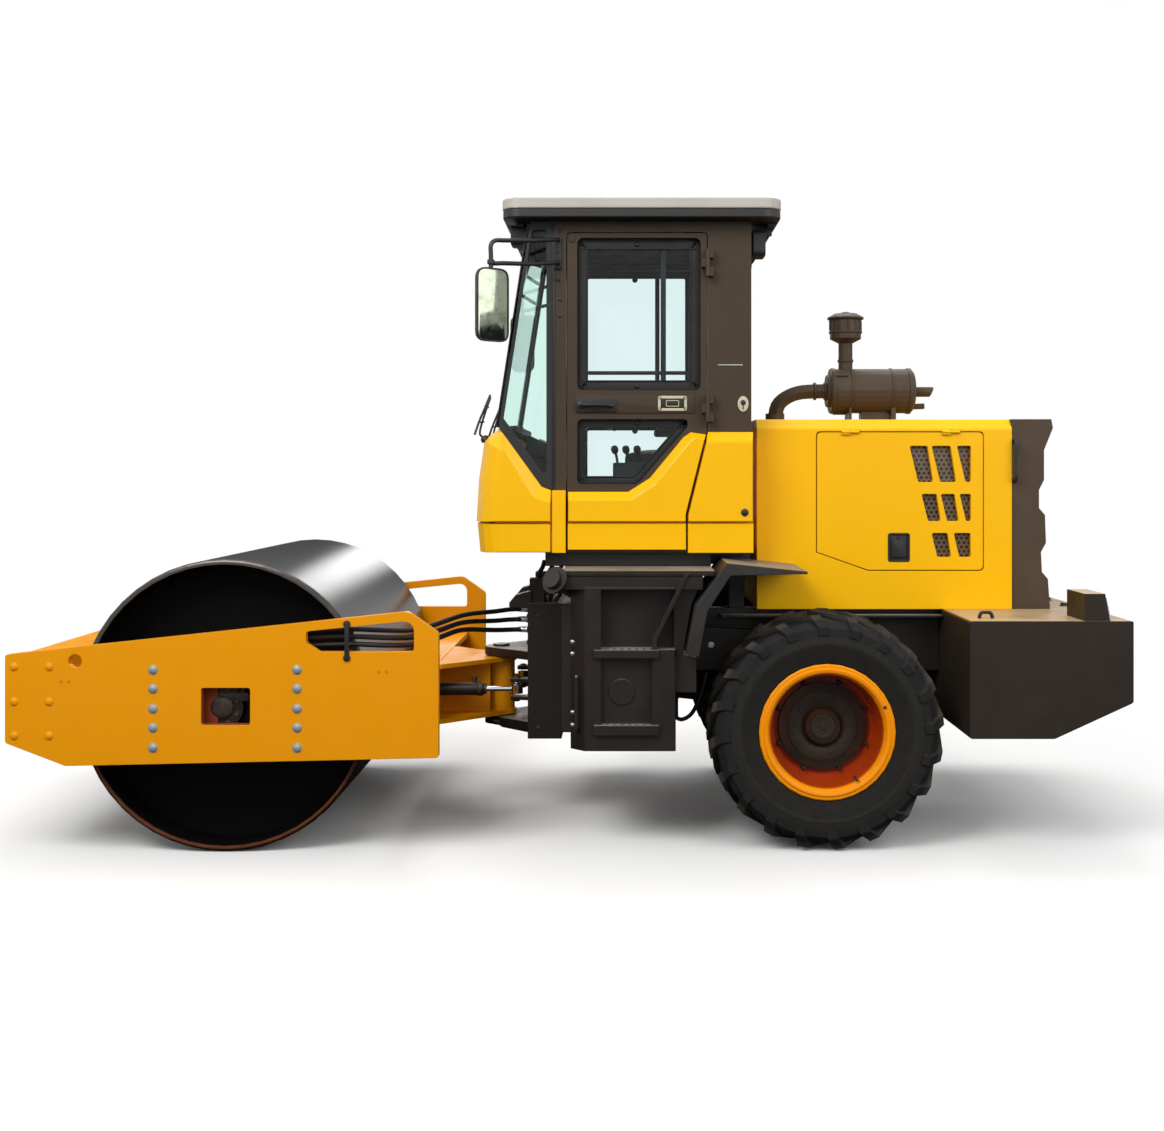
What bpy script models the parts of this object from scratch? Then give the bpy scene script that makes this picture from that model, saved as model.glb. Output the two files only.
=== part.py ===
"""Articulated single-drum road roller, built as separate named pieces.

World frame: +X points to the rear of the machine, -X to the drum, -Y is the machine's left side
and +Z is up. The origin is on the ground below the middle of the machine. Units are metres.
"""
import math
from collections import namedtuple

import bmesh
import bpy
from mathutils import Matrix, Vector

# Clearances
SEAT = 0.0003            # between pieces that touch
RUN = 0.005              # between pieces that move past each other
PIN_PLAY = 0.001         # round a pin
SEAM = 0.010             # between a door's skin and the panels beside it
SMALL_RADIUS = 0.025     # corners below it are drawn with two chords

# Overall lines of the machine
PIVOT_X = -0.430
REAR_AXLE_X = 1.229
FRAME_TOP = 1.120        # top of the rear frame, where hood and counterweight meet it

# Drum
DRUM_RADIUS = 0.705
DRUM_TO_REAR_BEAM = 0.041
DRUM_TO_FRONT_BEAM = 0.069
REAR_BEAM_TO_PIVOT = 0.305
REAR_BEAM_DEPTH = 0.195
FRONT_BEAM_DEPTH = 0.200
REAR_BEAM_X = (PIVOT_X - REAR_BEAM_TO_PIVOT - REAR_BEAM_DEPTH, PIVOT_X - REAR_BEAM_TO_PIVOT)
DRUM_X = REAR_BEAM_X[0] - DRUM_TO_REAR_BEAM - DRUM_RADIUS
FRONT_BEAM_BACK = DRUM_X - DRUM_RADIUS - DRUM_TO_FRONT_BEAM
FRONT_BEAM_X = (FRONT_BEAM_BACK - FRONT_BEAM_DEPTH, FRONT_BEAM_BACK)
DRUM_HALF_WIDTH = 1.000
DRUM_SHELL = 0.025
DRUM_EDGE_ROUND = 0.016
DRUM_HEAD_Y = 0.800      # outer face of the end discs
DRUM_BOSS_RADIUS = 0.190
DRUM_BOSS_HEIGHT = 0.030
DRUM_RING_RADIUS = 0.330
DRUM_STEPS = 48

# Front frame
SIDE_PLATE_Y = 1.130     # outer face
SIDE_PLATE = 0.040
MOUNT_PLATE_Y = 0.985    # outer face of the plate that carries the drum hub
MOUNT_PLATE = 0.025
MOUNT_STUB_RADIUS = 0.165
MOUNT_BAR_X = 0.340      # buffer bars, before and behind the drum axis
MOUNT_BAR_WIDTH = 0.090
MOUNT_HALF_HEIGHT = 0.235
FRONT_BEAM_Z = (0.520, 0.960)
REAR_BEAM_Z = (0.500, 0.820)
BEAM_WALL = 0.030

# Centre joint
BARREL_RADIUS = 0.075
PIVOT_PIN_RADIUS = 0.045
TONGUE_HALF_WIDTH = 0.380
HEAD_X = (-0.262, -0.082)
HEAD_HALF_WIDTH = 0.320
HEAD_Z = (0.415, 1.133)
HINGE_PLATE = 0.045
GUSSET_HALF_WIDTH = 0.120
HORN_Y = (0.190, 0.300)
HOSE_STUB_TOP = 1.262

# Steering cylinders
RAM_Z = 0.669
RAM_FRONT = (-0.850, 0.260)    # X and half spacing of the pins on the front frame
RAM_REAR = (-0.325, 0.240)     # the same on the rear frame
RAM_RADIUS = 0.034
RAM_BARREL_LENGTH = 0.348
RAM_BORE_START = 0.056
RAM_ROD_RADIUS = 0.014
RAM_ROD_START = 0.195
RAM_PIN_RADIUS = 0.020
RAM_EYE_RADIUS = 0.042
ROD_EYE_RADIUS = 0.032
ROD_EYE_HALF = 0.025

# Rear frame
RAIL_Y = (0.340, 0.420)
RAIL_BOTTOM = 0.794
RAIL_END_X = 1.896
CAB_POST_X = (0.020, 0.800)
CAB_POST_LENGTH = 0.080
FLANGE_X = (0.750, 1.891)
FLANGE_Y = 0.530
FLANGE_TOP = 1.092
FLANGE = 0.012
PLATFORM_X = (-0.150, 0.900)
PLATFORM_HALF = 0.650
PLATFORM_STEP_X = 0.690  # narrower behind it, between the fenders

# Rear wheels
TYRE_RADIUS = 0.575
TYRE_HALF_WIDTH = 0.205
LUG_PAIRS = 20
LUG_TILT = 20
LUG_SECTIONS = (
    # distance from the middle, half width, top radius, foot radius
    (-0.010, 0.020, TYRE_RADIUS, 0.535),
    (0.170, 0.024, TYRE_RADIUS - 0.008, 0.500),
    (0.206, 0.024, TYRE_RADIUS - 0.065, 0.470),
)
TRACK_HALF = 0.815
RIM_FLANGE_RADIUS = 0.330
RIM_BARREL_RADIUS = 0.300
RIM_HALF_WIDTH = 0.190
RIM_OPENING_RADIUS = 0.2745
HUB_RADIUS = 0.215
HUB_INBOARD = 0.180
WHEEL_STEPS = 32
AXLE_TUBE_RADIUS = 0.085
AXLE_HUB_RADIUS = 0.150
DIFF_RADIUS = 0.200

# Step boxes
TANK_X = (-0.011, 0.499)
TANK_Y = 1.000
TANK_Z = (0.485, 1.353)
TANK_CORNER = 0.070
DECK = 0.024             # plate on top of the tank, out to the fender
DECK_X = (-0.050, 0.687)
HEADER_Z = 1.262         # lower edge of the tank's header
FLANGE_DEPTH = 0.043
STEP_LIP = 0.020
STEP_Z = ((0.934, 0.973), (0.563, 0.611))
TOE_DEPTH = 0.035        # hollow below the upper step
FOOT_DEPTH = 0.110       # hollow above it
RIB = 0.024
RIB_FRONT_X = (0.104, 0.138)
RIB_REAR_X = 0.408
RIB_BEND_Z = 1.021
RIB_TOP_X = 0.567
EMBOSS = (0.239, 0.765)
EMBOSS_RADIUS = 0.063
FILLER_FOOT = (-0.030, -0.930, 1.270)
FILLER_END = (-0.087, -1.020, 1.3115)
FILLER_FLANGE_RADIUS = 0.068
FILLER_CAP_RADIUS = 0.046

# Fenders
FENDER_PLATE = 0.012
FENDER_LIP = 0.062
FENDER_Y = 1.070

# Counterweight
WEIGHT_X = (1.896, 2.675)
WEIGHT_HALF_WIDTH = 1.080
WEIGHT_BOTTOM = 0.559
LAMP_BOX_X = (2.443, 2.540)
LAMP_BOX_TOP = 1.250
LAMP_BOX_WIDTH = 0.270

# Cab
CAB_HALF = 0.720         # outer face of the yellow skins
SKIN = 0.030
SKIN_RIM = 0.004         # thickness of a skin along its upper edges
RAISE = 0.012            # how far the skins stand out above the crease
CREASE_Z = 1.579
CREASE = 0.008
SHOULDER = 0.8           # share of a chamfer's width that is straight
DOOR_CHAMFER = 0.045
SKIRT_CHAMFER = 0.055
REAR_SHEET = 0.008
COWL_SEAM = 0.006
COWL_ROOM_HALF = 0.655
COWL_RINGS = (
    # distance inside the face, then the margins of hidden, upper and front edges
    (0.000, 0.004, 0.062, 0.115),
    (0.010, 0.002, 0.042, 0.075),
    (0.038, 0.000, 0.000, 0.035),
    (0.122, 0.000, 0.000, 0.000),
)
CAB_FRAME_WALL = 0.055
CAB_X = (-0.112, 0.891)
CAB_Z = (1.424, 3.0947)
PLATFORM_Z = (TANK_Z[1] + SEAT, CAB_Z[0] - SEAT)     # between the tanks and the cab
CAB_FLOOR = 0.036
DOOR_X = (-0.037, 0.666)
DOOR_Z = (1.440, 3.034)
DOOR_HEEL_X = 0.560              # rear edge below the slanted seam
DOOR_HEEL_Z = (1.615, 2.031)     # ends of the slanted seam
DOOR_WALL = 0.042
DOOR_FRONT_STILE = 0.050
DOOR_REAR_STILE = 0.030
DOOR_HEAD = 0.024
DOOR_RAIL_Z = (2.096, 2.241)
DOOR_SILL_Z = 1.768
QUARTER_WALL = 0.035
QUARTER_MARGINS = (0.030, 0.043, 0.015, 0.045)          # rear, top, windshield and slope
QUARTER_GLASS_MARGINS = (0.015, 0.022, 0.008, 0.022, 0.015)
GLASS = 0.008
ROOF_X = (-0.361, 1.038)
ROOF_HALF = 0.800
ROOF_Z = (3.095, 3.194)
ROOF_SEAM_Z = 3.140
MIRROR_HEAD = (-0.392, 1.000, 2.634)
MIRROR_TURN = 27
MIRROR_ARMS = ((2.996, 2.948), (2.880, 2.837))          # Z at the pillar and at the head
LAMP_ROWS = (
    # name, X of the bar, X of the lamp's faces, Z of its edges
    ("lamps_front", -0.278, (-0.321, -0.250), (2.985, 3.085)),
    ("lamps_rear", 0.998, (0.906, 0.963), (2.928, 3.062)),
)
KNUCKLE_RADIUS = 0.012
KNUCKLE_LENGTH = 0.045

# Hood
HOOD_X = (0.937, 2.257)
HOOD_HALF = 0.500
HOOD_TOP = 2.104
HOOD_CHAMFER = 0.050
HOOD_WALL = 0.028
HOOD_DOOR_WALL = 0.024
GRILLE_END_X = 2.473
GRILLE_WAVE = (
    # distance before the rear end, Z
    (0.015, FRAME_TOP + SEAT), (0.026, 1.275), (0.057, 1.312), (0.062, 1.415), (0.036, 1.462),
    (0.041, 1.607), (0.072, 1.643), (0.072, 1.737), (0.046, 1.789), (0.046, 1.944),
    (0.000, 2.058), (0.008, HOOD_TOP),
)

# Air cleaner
AIR_Y = -0.200
AIR_Z = 2.2657
AIR_RADIUS = 0.1197
AIR_X = (1.357, 1.804)
AIR_STEM_X = 1.443
PRE_CLEANER_HEIGHT = 0.421       # its crown above the cleaner's axis
AIR_FEET = (
    # X range and half width of each foot
    (1.452, 1.464, 0.080),
    (1.522, 1.662, 0.040),
    (1.676, 1.700, 0.080),
)

Corner = namedtuple("Corner", "u v radius")

PLANES = {
    # Columns of the matrix: where the drawing's first, second and third axes point
    "side": Matrix(((1, 0, 0), (0, 0, -1), (0, 1, 0))).to_4x4(),
    "plan": Matrix.Identity(4),
    "front": Matrix(((0, 0, 1), (1, 0, 0), (0, 1, 0))).to_4x4(),
}


def start_scene():
    """Empty the scene and make the collections for the parts and for their cutters."""
    for item in list(bpy.data.objects):
        bpy.data.objects.remove(item, do_unlink=True)
    collections = {}
    for name in ("road_roller", "cutters"):
        collections[name] = bpy.data.collections.new(name)
        bpy.context.scene.collection.children.link(collections[name])
    return collections


COLLECTIONS = start_scene()


def paint(name, colour, roughness, metallic=0.0, alpha=1.0):
    """Make a Principled material from an sRGB hex colour."""
    material = bpy.data.materials.new(name)
    material.use_nodes = True
    shader = material.node_tree.nodes["Principled BSDF"]
    parts = [int(colour[place:place + 2], 16) / 255 for place in (1, 3, 5)]
    linear = [((part + 0.055) / 1.055) ** 2.4 if part > 0.04045 else part / 12.92 for part in parts]
    shader.inputs["Base Color"].default_value = (*linear, 1.0)
    shader.inputs["Roughness"].default_value = roughness
    shader.inputs["Metallic"].default_value = metallic
    shader.inputs["Alpha"].default_value = alpha
    material.diffuse_color = (*linear, alpha)
    return material


ORANGE = paint("orange_enamel", "#EB9B00", 0.40)
YELLOW = paint("yellow_enamel", "#FBB700", 0.38)
BROWN = paint("dark_brown_enamel", "#4B3E32", 0.45)
DARK = paint("dark_frame_enamel", "#2E2823", 0.50)
STEEL = paint("rolled_steel", "#7A7B7C", 0.32, metallic=1.0)
CHROME = paint("chromed_rod", "#C9CBCE", 0.12, metallic=1.0)
RUBBER = paint("tyre_rubber", "#262626", 0.85)
BLACK = paint("black_plastic", "#1C1C1D", 0.55)
CLEAR = paint("tinted_glass", "#B9D6CB", 0.05, alpha=0.35)
PALE = paint("pale_roof_plastic", "#C8C3B9", 0.50)


def link(item, where):
    """Put an object in one of the two collections."""
    COLLECTIONS[where].objects.link(item)
    if where == "cutters":
        item.hide_render = True
        item.display_type = "WIRE"
    return item


def mesh_item(name, mesh, where="cutters"):
    """Make an object of a mesh."""
    return link(bpy.data.objects.new(name, mesh), where)


def baked(item, name="solid"):
    """Turn an object's evaluated shape into a mesh object in world space and drop the first."""
    bpy.context.view_layer.update()
    graph = bpy.context.evaluated_depsgraph_get()
    mesh = bpy.data.meshes.new_from_object(item.evaluated_get(graph))
    mesh.transform(item.matrix_world)
    work = bmesh.new()
    work.from_mesh(mesh)
    bmesh.ops.remove_doubles(work, verts=work.verts, dist=0.00001)
    bmesh.ops.recalc_face_normals(work, faces=work.faces)
    work.to_mesh(mesh)
    work.free()
    bpy.data.objects.remove(item, do_unlink=True)
    mesh.materials.clear()
    return mesh_item(name, mesh)


def rounded(corners, steps=4):
    """Return the points of an outline whose corners are arcs of their own radii."""
    points = []
    count = len(corners)
    for place, corner in enumerate(corners):
        here = Vector((corner.u, corner.v))
        if corner.radius <= 0:
            points.append(here)
            continue
        before = corners[place - 1]
        after = corners[(place + 1) % count]
        back = (Vector((before.u, before.v)) - here).normalized()
        ahead = (Vector((after.u, after.v)) - here).normalized()
        half = back.angle(ahead) / 2
        reach = corner.radius / math.tan(half)
        centre = here + (back + ahead).normalized() * (corner.radius / math.sin(half))
        first = here + back * reach - centre
        last = here + ahead * reach - centre
        turn = first.angle_signed(last)
        pieces = 2 if corner.radius < SMALL_RADIUS else steps
        for step in range(pieces + 1):
            angle = -turn * step / pieces
            points.append(centre + Matrix.Rotation(angle, 2) @ first)
    return points


def square(u_low, v_low, u_high, v_high, radius=0.0):
    """Return the corners of a rectangle, with one radius for all."""
    places = ((u_low, v_low), (u_high, v_low), (u_high, v_high), (u_low, v_high))
    return [Corner(u, v, radius) for u, v in places]


def corners(rows):
    """Read a table whose columns are u, v and radius."""
    return [Corner(*row) for row in rows]


def flat(outline, plane, low, high, holes=(), steps=4):
    """Extrude an outline with its holes from low to high, across the named plane."""
    curve = bpy.data.curves.new("outline", "CURVE")
    curve.dimensions = "2D"
    curve.fill_mode = "BOTH"
    curve.extrude = abs(high - low) / 2
    for ring in (outline, *holes):
        points = rounded(ring, steps)
        spline = curve.splines.new("POLY")
        spline.points.add(len(points) - 1)
        spline.use_cyclic_u = True
        for point, place in zip(spline.points, points):
            point.co = (place.x, place.y, 0, 1)
    item = link(bpy.data.objects.new("outline", curve), "cutters")
    middle = (low + high) / 2
    lift = -middle if plane == "side" else middle
    item.matrix_world = PLANES[plane] @ Matrix.Translation((0, 0, lift))
    return baked(item)


def block(x_range, y_range, z_range):
    """Make a box between three ranges."""
    mesh = bpy.data.meshes.new("block")
    work = bmesh.new()
    bmesh.ops.create_cube(work, size=1.0)
    size = [abs(high - low) for low, high in (x_range, y_range, z_range)]
    middle = [(low + high) / 2 for low, high in (x_range, y_range, z_range)]
    work.transform(Matrix.Translation(middle) @ Matrix.Diagonal((*size, 1)))
    work.to_mesh(mesh)
    work.free()
    return mesh_item("block", mesh)


def rod(start, end, radius, steps=24, end_radius=None):
    """Make a cylinder, or a cone, between two points."""
    start, end = Vector(start), Vector(end)
    length = (end - start).length
    mesh = bpy.data.meshes.new("rod")
    work = bmesh.new()
    far = radius if end_radius is None else end_radius
    bmesh.ops.create_cone(work, cap_ends=True, segments=steps, radius1=radius, radius2=far, depth=length)
    turn = Vector((0, 0, 1)).rotation_difference(end - start).to_matrix().to_4x4()
    work.transform(Matrix.Translation((start + end) / 2) @ turn)
    work.to_mesh(mesh)
    work.free()
    return mesh_item("rod", mesh)


def turned(profile, at, axis, steps=32, bake=True):
    """Spin a profile of radius and height pairs about an axis through a point."""
    mesh = bpy.data.meshes.new("profile")
    points = [(radius, 0, height) for radius, height in profile]
    mesh.from_pydata(points, [(place, place + 1) for place in range(len(points) - 1)], [])
    item = mesh_item("turned", mesh)
    screw = item.modifiers.new("Turn", "SCREW")
    screw.axis = "Z"
    screw.steps = steps
    screw.render_steps = steps
    screw.use_merge_vertices = True
    screw.merge_threshold = 0.00005
    item.location = at
    item.rotation_mode = "QUATERNION"
    item.rotation_quaternion = Vector((0, 0, 1)).rotation_difference(Vector(axis))
    return baked(item) if bake else item


def pipe(points, radius, resolution=3, smooth=True):
    """Make a bent tube along points, with its ends filled."""
    curve = bpy.data.curves.new("pipe", "CURVE")
    curve.dimensions = "3D"
    curve.bevel_depth = radius
    curve.bevel_resolution = resolution
    curve.use_fill_caps = True
    spline = curve.splines.new("POLY")
    route = smooth_route(points) if smooth else [Vector(point) for point in points]
    spline.points.add(len(route) - 1)
    for point, place in zip(spline.points, route):
        point.co = (*place, 1)
    item = link(bpy.data.objects.new("pipe", curve), "cutters")
    return baked(item)


def smooth_route(points, pieces=3):
    """Return points on a smooth curve through the given ones."""
    route = [Vector(point) for point in points]
    padded = [route[0] * 2 - route[1], *route, route[-1] * 2 - route[-2]]
    result = []
    for place in range(1, len(padded) - 2):
        a, b, c, d = padded[place - 1:place + 3]
        for step in range(pieces):
            t = step / pieces
            result.append(0.5 * (2 * b + (c - a) * t + (2 * a - 5 * b + 4 * c - d) * t * t
                                 + (3 * b - a - 3 * c + d) * t * t * t))
    result.append(route[-1])
    return result


def combine(base, others, operation):
    """Add Boolean modifiers that join, cut or intersect a base with other solids."""
    for other in others:
        step = base.modifiers.new(operation.title(), "BOOLEAN")
        step.operation = operation
        step.solver = "EXACT"
        step.object = other
    return base


def joined(pieces):
    """Union solids that overlap into one."""
    return combine(pieces[0], pieces[1:], "UNION")


def carved(base, cutters):
    """Cut solids out of a base."""
    return combine(base, cutters, "DIFFERENCE")


def part(name, item, material, smooth=None):
    """Name a finished piece, give it its material and put it among the parts."""
    item.name = name
    item.data.name = name
    COLLECTIONS["cutters"].objects.unlink(item)
    link(item, "road_roller")
    item.hide_render = False
    item.display_type = "TEXTURED"
    item.data.materials.clear()
    item.data.materials.append(material)
    if smooth:
        item.data.shade_smooth()
        item.data.set_sharp_from_angle(angle=math.radians(smooth))
    return item


def both_sides():
    """Yield the name and the sign of Y of the machine's two sides."""
    yield "left", -1
    yield "right", 1


def across(side, inner, outer):
    """Return the Y range between two distances from the middle, on one side."""
    return tuple(sorted((side * inner, side * outer)))


def arc_points(centre, radius, start, end, steps):
    """Return sharp corners along an arc, with angles in degrees."""
    result = []
    for step in range(steps + 1):
        angle = math.radians(start + (end - start) * step / steps)
        result.append(Corner(centre[0] + radius * math.cos(angle), centre[1] + radius * math.sin(angle), 0))
    return result


def inset(outline, margins):
    """Move each edge of an outline inwards by its own margin; the first edge starts at corner 0."""
    lines = []
    for place, margin in enumerate(margins):
        start = Vector((outline[place].u, outline[place].v))
        after = outline[(place + 1) % len(outline)]
        along = (Vector((after.u, after.v)) - start).normalized()
        lines.append((start + Vector((-along.y, along.x)) * margin, along))
    result = []
    for place, corner in enumerate(outline):
        (before, slope), (here, along) = lines[place - 1], lines[place]
        point = before + slope * ((here - before).cross(along) / slope.cross(along))
        result.append(Corner(point.x, point.y, corner.radius))
    return result


def layered(outline, rings):
    """Loft an outline of the side view through rings, each with its Y and its margins."""
    mesh = bpy.data.meshes.new("layers")
    work = bmesh.new()
    loops = []
    for y, margins in rings:
        loops.append([work.verts.new((place.x, y, place.y)) for place in rounded(inset(outline, margins))])
    for lower, upper in zip(loops, loops[1:]):
        for step in range(len(lower)):
            after = (step + 1) % len(lower)
            work.faces.new((lower[step], lower[after], upper[after], upper[step]))
    work.faces.new(loops[0][::-1])
    work.faces.new(loops[-1])
    bmesh.ops.recalc_face_normals(work, faces=work.faces)
    work.to_mesh(mesh)
    work.free()
    return mesh_item("layers", mesh)


# Front frame

PLATE_FRONT = FRONT_BEAM_X[0] - 0.025
PLATE_BACK = REAR_BEAM_X[1] + 0.108
PLATE_OUTLINE = corners((
    # u                    v      radius
    (PLATE_FRONT, 0.550, 0.015),
    (PLATE_FRONT + 0.284, 0.441, 0.030),
    (PLATE_BACK, 0.479, 0.012),
    (PLATE_BACK, 1.070, 0.030),
    (PLATE_BACK - 0.144, 1.171, 0.050),
    (PLATE_FRONT + 0.071, 0.975, 0.030),
    (PLATE_FRONT, 0.966, 0.012),
))
HUB_WINDOW = square(DRUM_X - 0.073, DRUM_RADIUS - 0.070, DRUM_X + 0.159, DRUM_RADIUS + 0.105, 0.010)
HOSE_WINDOW = corners((
    (PLATE_BACK - 0.626, 1.022, 0.015),
    (PLATE_BACK - 0.563, 0.980, 0.015),
    (PLATE_BACK - 0.116, 0.980, 0.015),
    (PLATE_BACK - 0.116, 1.128, 0.045),
    (PLATE_BACK - 0.626, 1.077, 0.015),
))
LIFTING_HOLE = arc_points((PLATE_FRONT + 0.331, 0.937), 0.033, 0, 330, 11)


def front_plates():
    """Side plates of the drum frame, each with the hub window, the hose window and a lifting hole."""
    for name, side in both_sides():
        low, high = across(side, SIDE_PLATE_Y - SIDE_PLATE, SIDE_PLATE_Y)
        plate = flat(PLATE_OUTLINE, "side", low, high, (HUB_WINDOW, HOSE_WINDOW, LIFTING_HOLE))
        part("front_plate_" + name, plate, ORANGE)


def front_beams():
    """Front beam, rear beam with the tongue and the barrel of the centre joint, and scraper."""
    inner = SIDE_PLATE_Y - SIDE_PLATE - SEAT
    x_low, x_high = FRONT_BEAM_X
    z_low, z_high = FRONT_BEAM_Z
    outline = square(x_low, z_low, x_high, z_high, 0.020)
    part("front_beam", flat(outline, "side", -inner, inner), ORANGE)

    x_low, x_high = REAR_BEAM_X
    z_low, z_high = REAR_BEAM_Z
    channel = corners((
        (x_low, z_low, 0), (x_high, z_low, 0), (x_high, z_low + BEAM_WALL, 0),
        (x_low + BEAM_WALL, z_low + BEAM_WALL, 0), (x_low + BEAM_WALL, z_high - BEAM_WALL, 0),
        (x_high, z_high - BEAM_WALL, 0), (x_high, z_high, 0), (x_low, z_high, 0),
    ))
    beam = flat(channel, "side", -inner, inner)
    tip = BARREL_RADIUS + 0.010
    tongue = [
        Corner(x_low + BEAM_WALL / 2, TONGUE_HALF_WIDTH, 0),
        Corner(x_low + BEAM_WALL / 2, -TONGUE_HALF_WIDTH, 0),
        Corner(x_high + 0.020, -TONGUE_HALF_WIDTH, 0.030),
        *arc_points((PIVOT_X, 0), tip, -60, 60, 8),
        Corner(x_high + 0.020, TONGUE_HALF_WIDTH, 0.030),
    ]
    pieces = [beam]
    for low in (z_low, z_high - BEAM_WALL):
        pieces.append(flat(tongue, "plan", low + 0.003, low + BEAM_WALL - 0.003))
    for side in (-1, 1):
        y_range = across(side, 0.095, 0.120)
        pieces.append(block((x_low + 0.01, PIVOT_X - 0.050), y_range, (z_low + 0.01, z_high - 0.01)))
        pin_x, pin_y = RAM_FRONT
        start = (pin_x, side * pin_y, z_low + 0.01)
        end = (pin_x, side * pin_y, z_high - 0.01)
        pieces.append(rod(start, end, RAM_PIN_RADIUS, 16))
    pieces.append(rod((PIVOT_X, 0, z_low), (PIVOT_X, 0, z_high), BARREL_RADIUS, 24))
    bore = rod((PIVOT_X, 0, z_low - 0.1), (PIVOT_X, 0, z_high + 0.1), PIVOT_PIN_RADIUS + PIN_PLAY, 20)
    part("rear_beam", carved(joined(pieces), [bore]), ORANGE)


def scraper():
    """Blade that cleans the drum, on two arms from the front beam."""
    beam_back = FRONT_BEAM_X[1]
    blade_z = 0.830
    reach = DRUM_X - math.sqrt((DRUM_RADIUS + 0.008) ** 2 - (blade_z - DRUM_RADIUS) ** 2)
    span = (0.040 - DRUM_HALF_WIDTH, DRUM_HALF_WIDTH - 0.040)
    blade = block((beam_back + SEAT, reach), span, (blade_z - 0.009, blade_z + 0.009))
    foot = block((beam_back + SEAT, beam_back + 0.016), span, (blade_z - 0.080, blade_z + 0.005))
    part("scraper", joined([blade, foot]), ORANGE)


def drum_mounts():
    """Dark plates on buffer bars that carry the drum's hub inside each side plate."""
    for name, side in both_sides():
        low, high = across(side, MOUNT_PLATE_Y - MOUNT_PLATE, MOUNT_PLATE_Y)
        half = MOUNT_BAR_X + MOUNT_BAR_WIDTH / 2
        outline = square(DRUM_X - half, DRUM_RADIUS - MOUNT_HALF_HEIGHT, DRUM_X + half,
                         DRUM_RADIUS + MOUNT_HALF_HEIGHT, 0.080)
        pieces = [flat(outline, "side", low, high)]
        for step in (-1, 1):
            middle = DRUM_X + step * MOUNT_BAR_X
            half_width = MOUNT_BAR_WIDTH / 2
            pieces.append(block((middle - half_width, middle + half_width),
                                across(side, MOUNT_PLATE_Y - 0.005, SIDE_PLATE_Y - SIDE_PLATE - SEAT),
                                (DRUM_RADIUS - MOUNT_HALF_HEIGHT + 0.05,
                                 DRUM_RADIUS + MOUNT_HALF_HEIGHT - 0.02)))
        boss = DRUM_HEAD_Y + DRUM_BOSS_HEIGHT + SEAT
        pieces.append(rod((DRUM_X, side * boss, DRUM_RADIUS), (DRUM_X, side * 0.975, DRUM_RADIUS),
                          MOUNT_STUB_RADIUS, 24))
        pieces.append(rod((DRUM_X, side * 0.975, DRUM_RADIUS), (DRUM_X, side * 1.045, DRUM_RADIUS),
                          0.105, 20))
        part("drum_mount_" + name, joined(pieces), DARK, 30)


def drum():
    """Smooth drum: shell with rounded edges and two recessed end discs with a ring and a boss."""
    inner = DRUM_RADIUS - DRUM_SHELL
    half = [
        # radius and distance from the middle
        (0, DRUM_HEAD_Y + DRUM_BOSS_HEIGHT),
        (DRUM_BOSS_RADIUS, DRUM_HEAD_Y + DRUM_BOSS_HEIGHT),
        (DRUM_BOSS_RADIUS, DRUM_HEAD_Y),
        (DRUM_RING_RADIUS, DRUM_HEAD_Y),
        (DRUM_RING_RADIUS, DRUM_HEAD_Y + 0.020),
        (DRUM_RING_RADIUS + 0.025, DRUM_HEAD_Y + 0.020),
        (DRUM_RING_RADIUS + 0.025, DRUM_HEAD_Y),
        (inner, DRUM_HEAD_Y),
        (inner, DRUM_HALF_WIDTH),
        (DRUM_RADIUS - DRUM_EDGE_ROUND, DRUM_HALF_WIDTH),
        (DRUM_RADIUS - DRUM_EDGE_ROUND * 0.3, DRUM_HALF_WIDTH - DRUM_EDGE_ROUND * 0.3),
        (DRUM_RADIUS, DRUM_HALF_WIDTH - DRUM_EDGE_ROUND),
    ]
    profile = half + [(radius, -height) for radius, height in reversed(half)]
    part("drum", turned(profile, (DRUM_X, 0, DRUM_RADIUS), (0, -1, 0), DRUM_STEPS), STEEL, 30)


# Steering cylinders

def steering_cylinders():
    """Barrels hinged on the front frame and rods that reach the rear frame's ears."""
    for name, side in both_sides():
        front = Vector((RAM_FRONT[0], side * RAM_FRONT[1], RAM_Z))
        rear = Vector((RAM_REAR[0], side * RAM_REAR[1], RAM_Z))
        along = (rear - front).normalized()
        length = (rear - front).length
        up = Vector((0, 0, 1))
        tube = rod(front + along * 0.030, front + along * RAM_BARREL_LENGTH, RAM_RADIUS, 24)
        eye = rod(front - up * RAM_EYE_RADIUS, front + up * RAM_EYE_RADIUS, RAM_EYE_RADIUS, 24)
        hole = rod(front - up * 0.1, front + up * 0.1, RAM_PIN_RADIUS + PIN_PLAY, 16)
        bore = rod(front + along * RAM_BORE_START, front + along * (RAM_BARREL_LENGTH + 0.05),
                   RAM_ROD_RADIUS + PIN_PLAY / 2, 20)
        part("steer_barrel_" + name, carved(joined([tube, eye]), [hole, bore]), DARK, 30)

        shaft = rod(front + along * RAM_ROD_START, front + along * (length - 0.020), RAM_ROD_RADIUS, 20)
        ring = rod(rear - up * ROD_EYE_HALF, rear + up * ROD_EYE_HALF, ROD_EYE_RADIUS, 20)
        hole = rod(rear - up * 0.1, rear + up * 0.1, RAM_PIN_RADIUS, 16)
        part("steer_rod_" + name, carved(joined([shaft, ring]), [hole]), CHROME, 30)


# Rear frame

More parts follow.
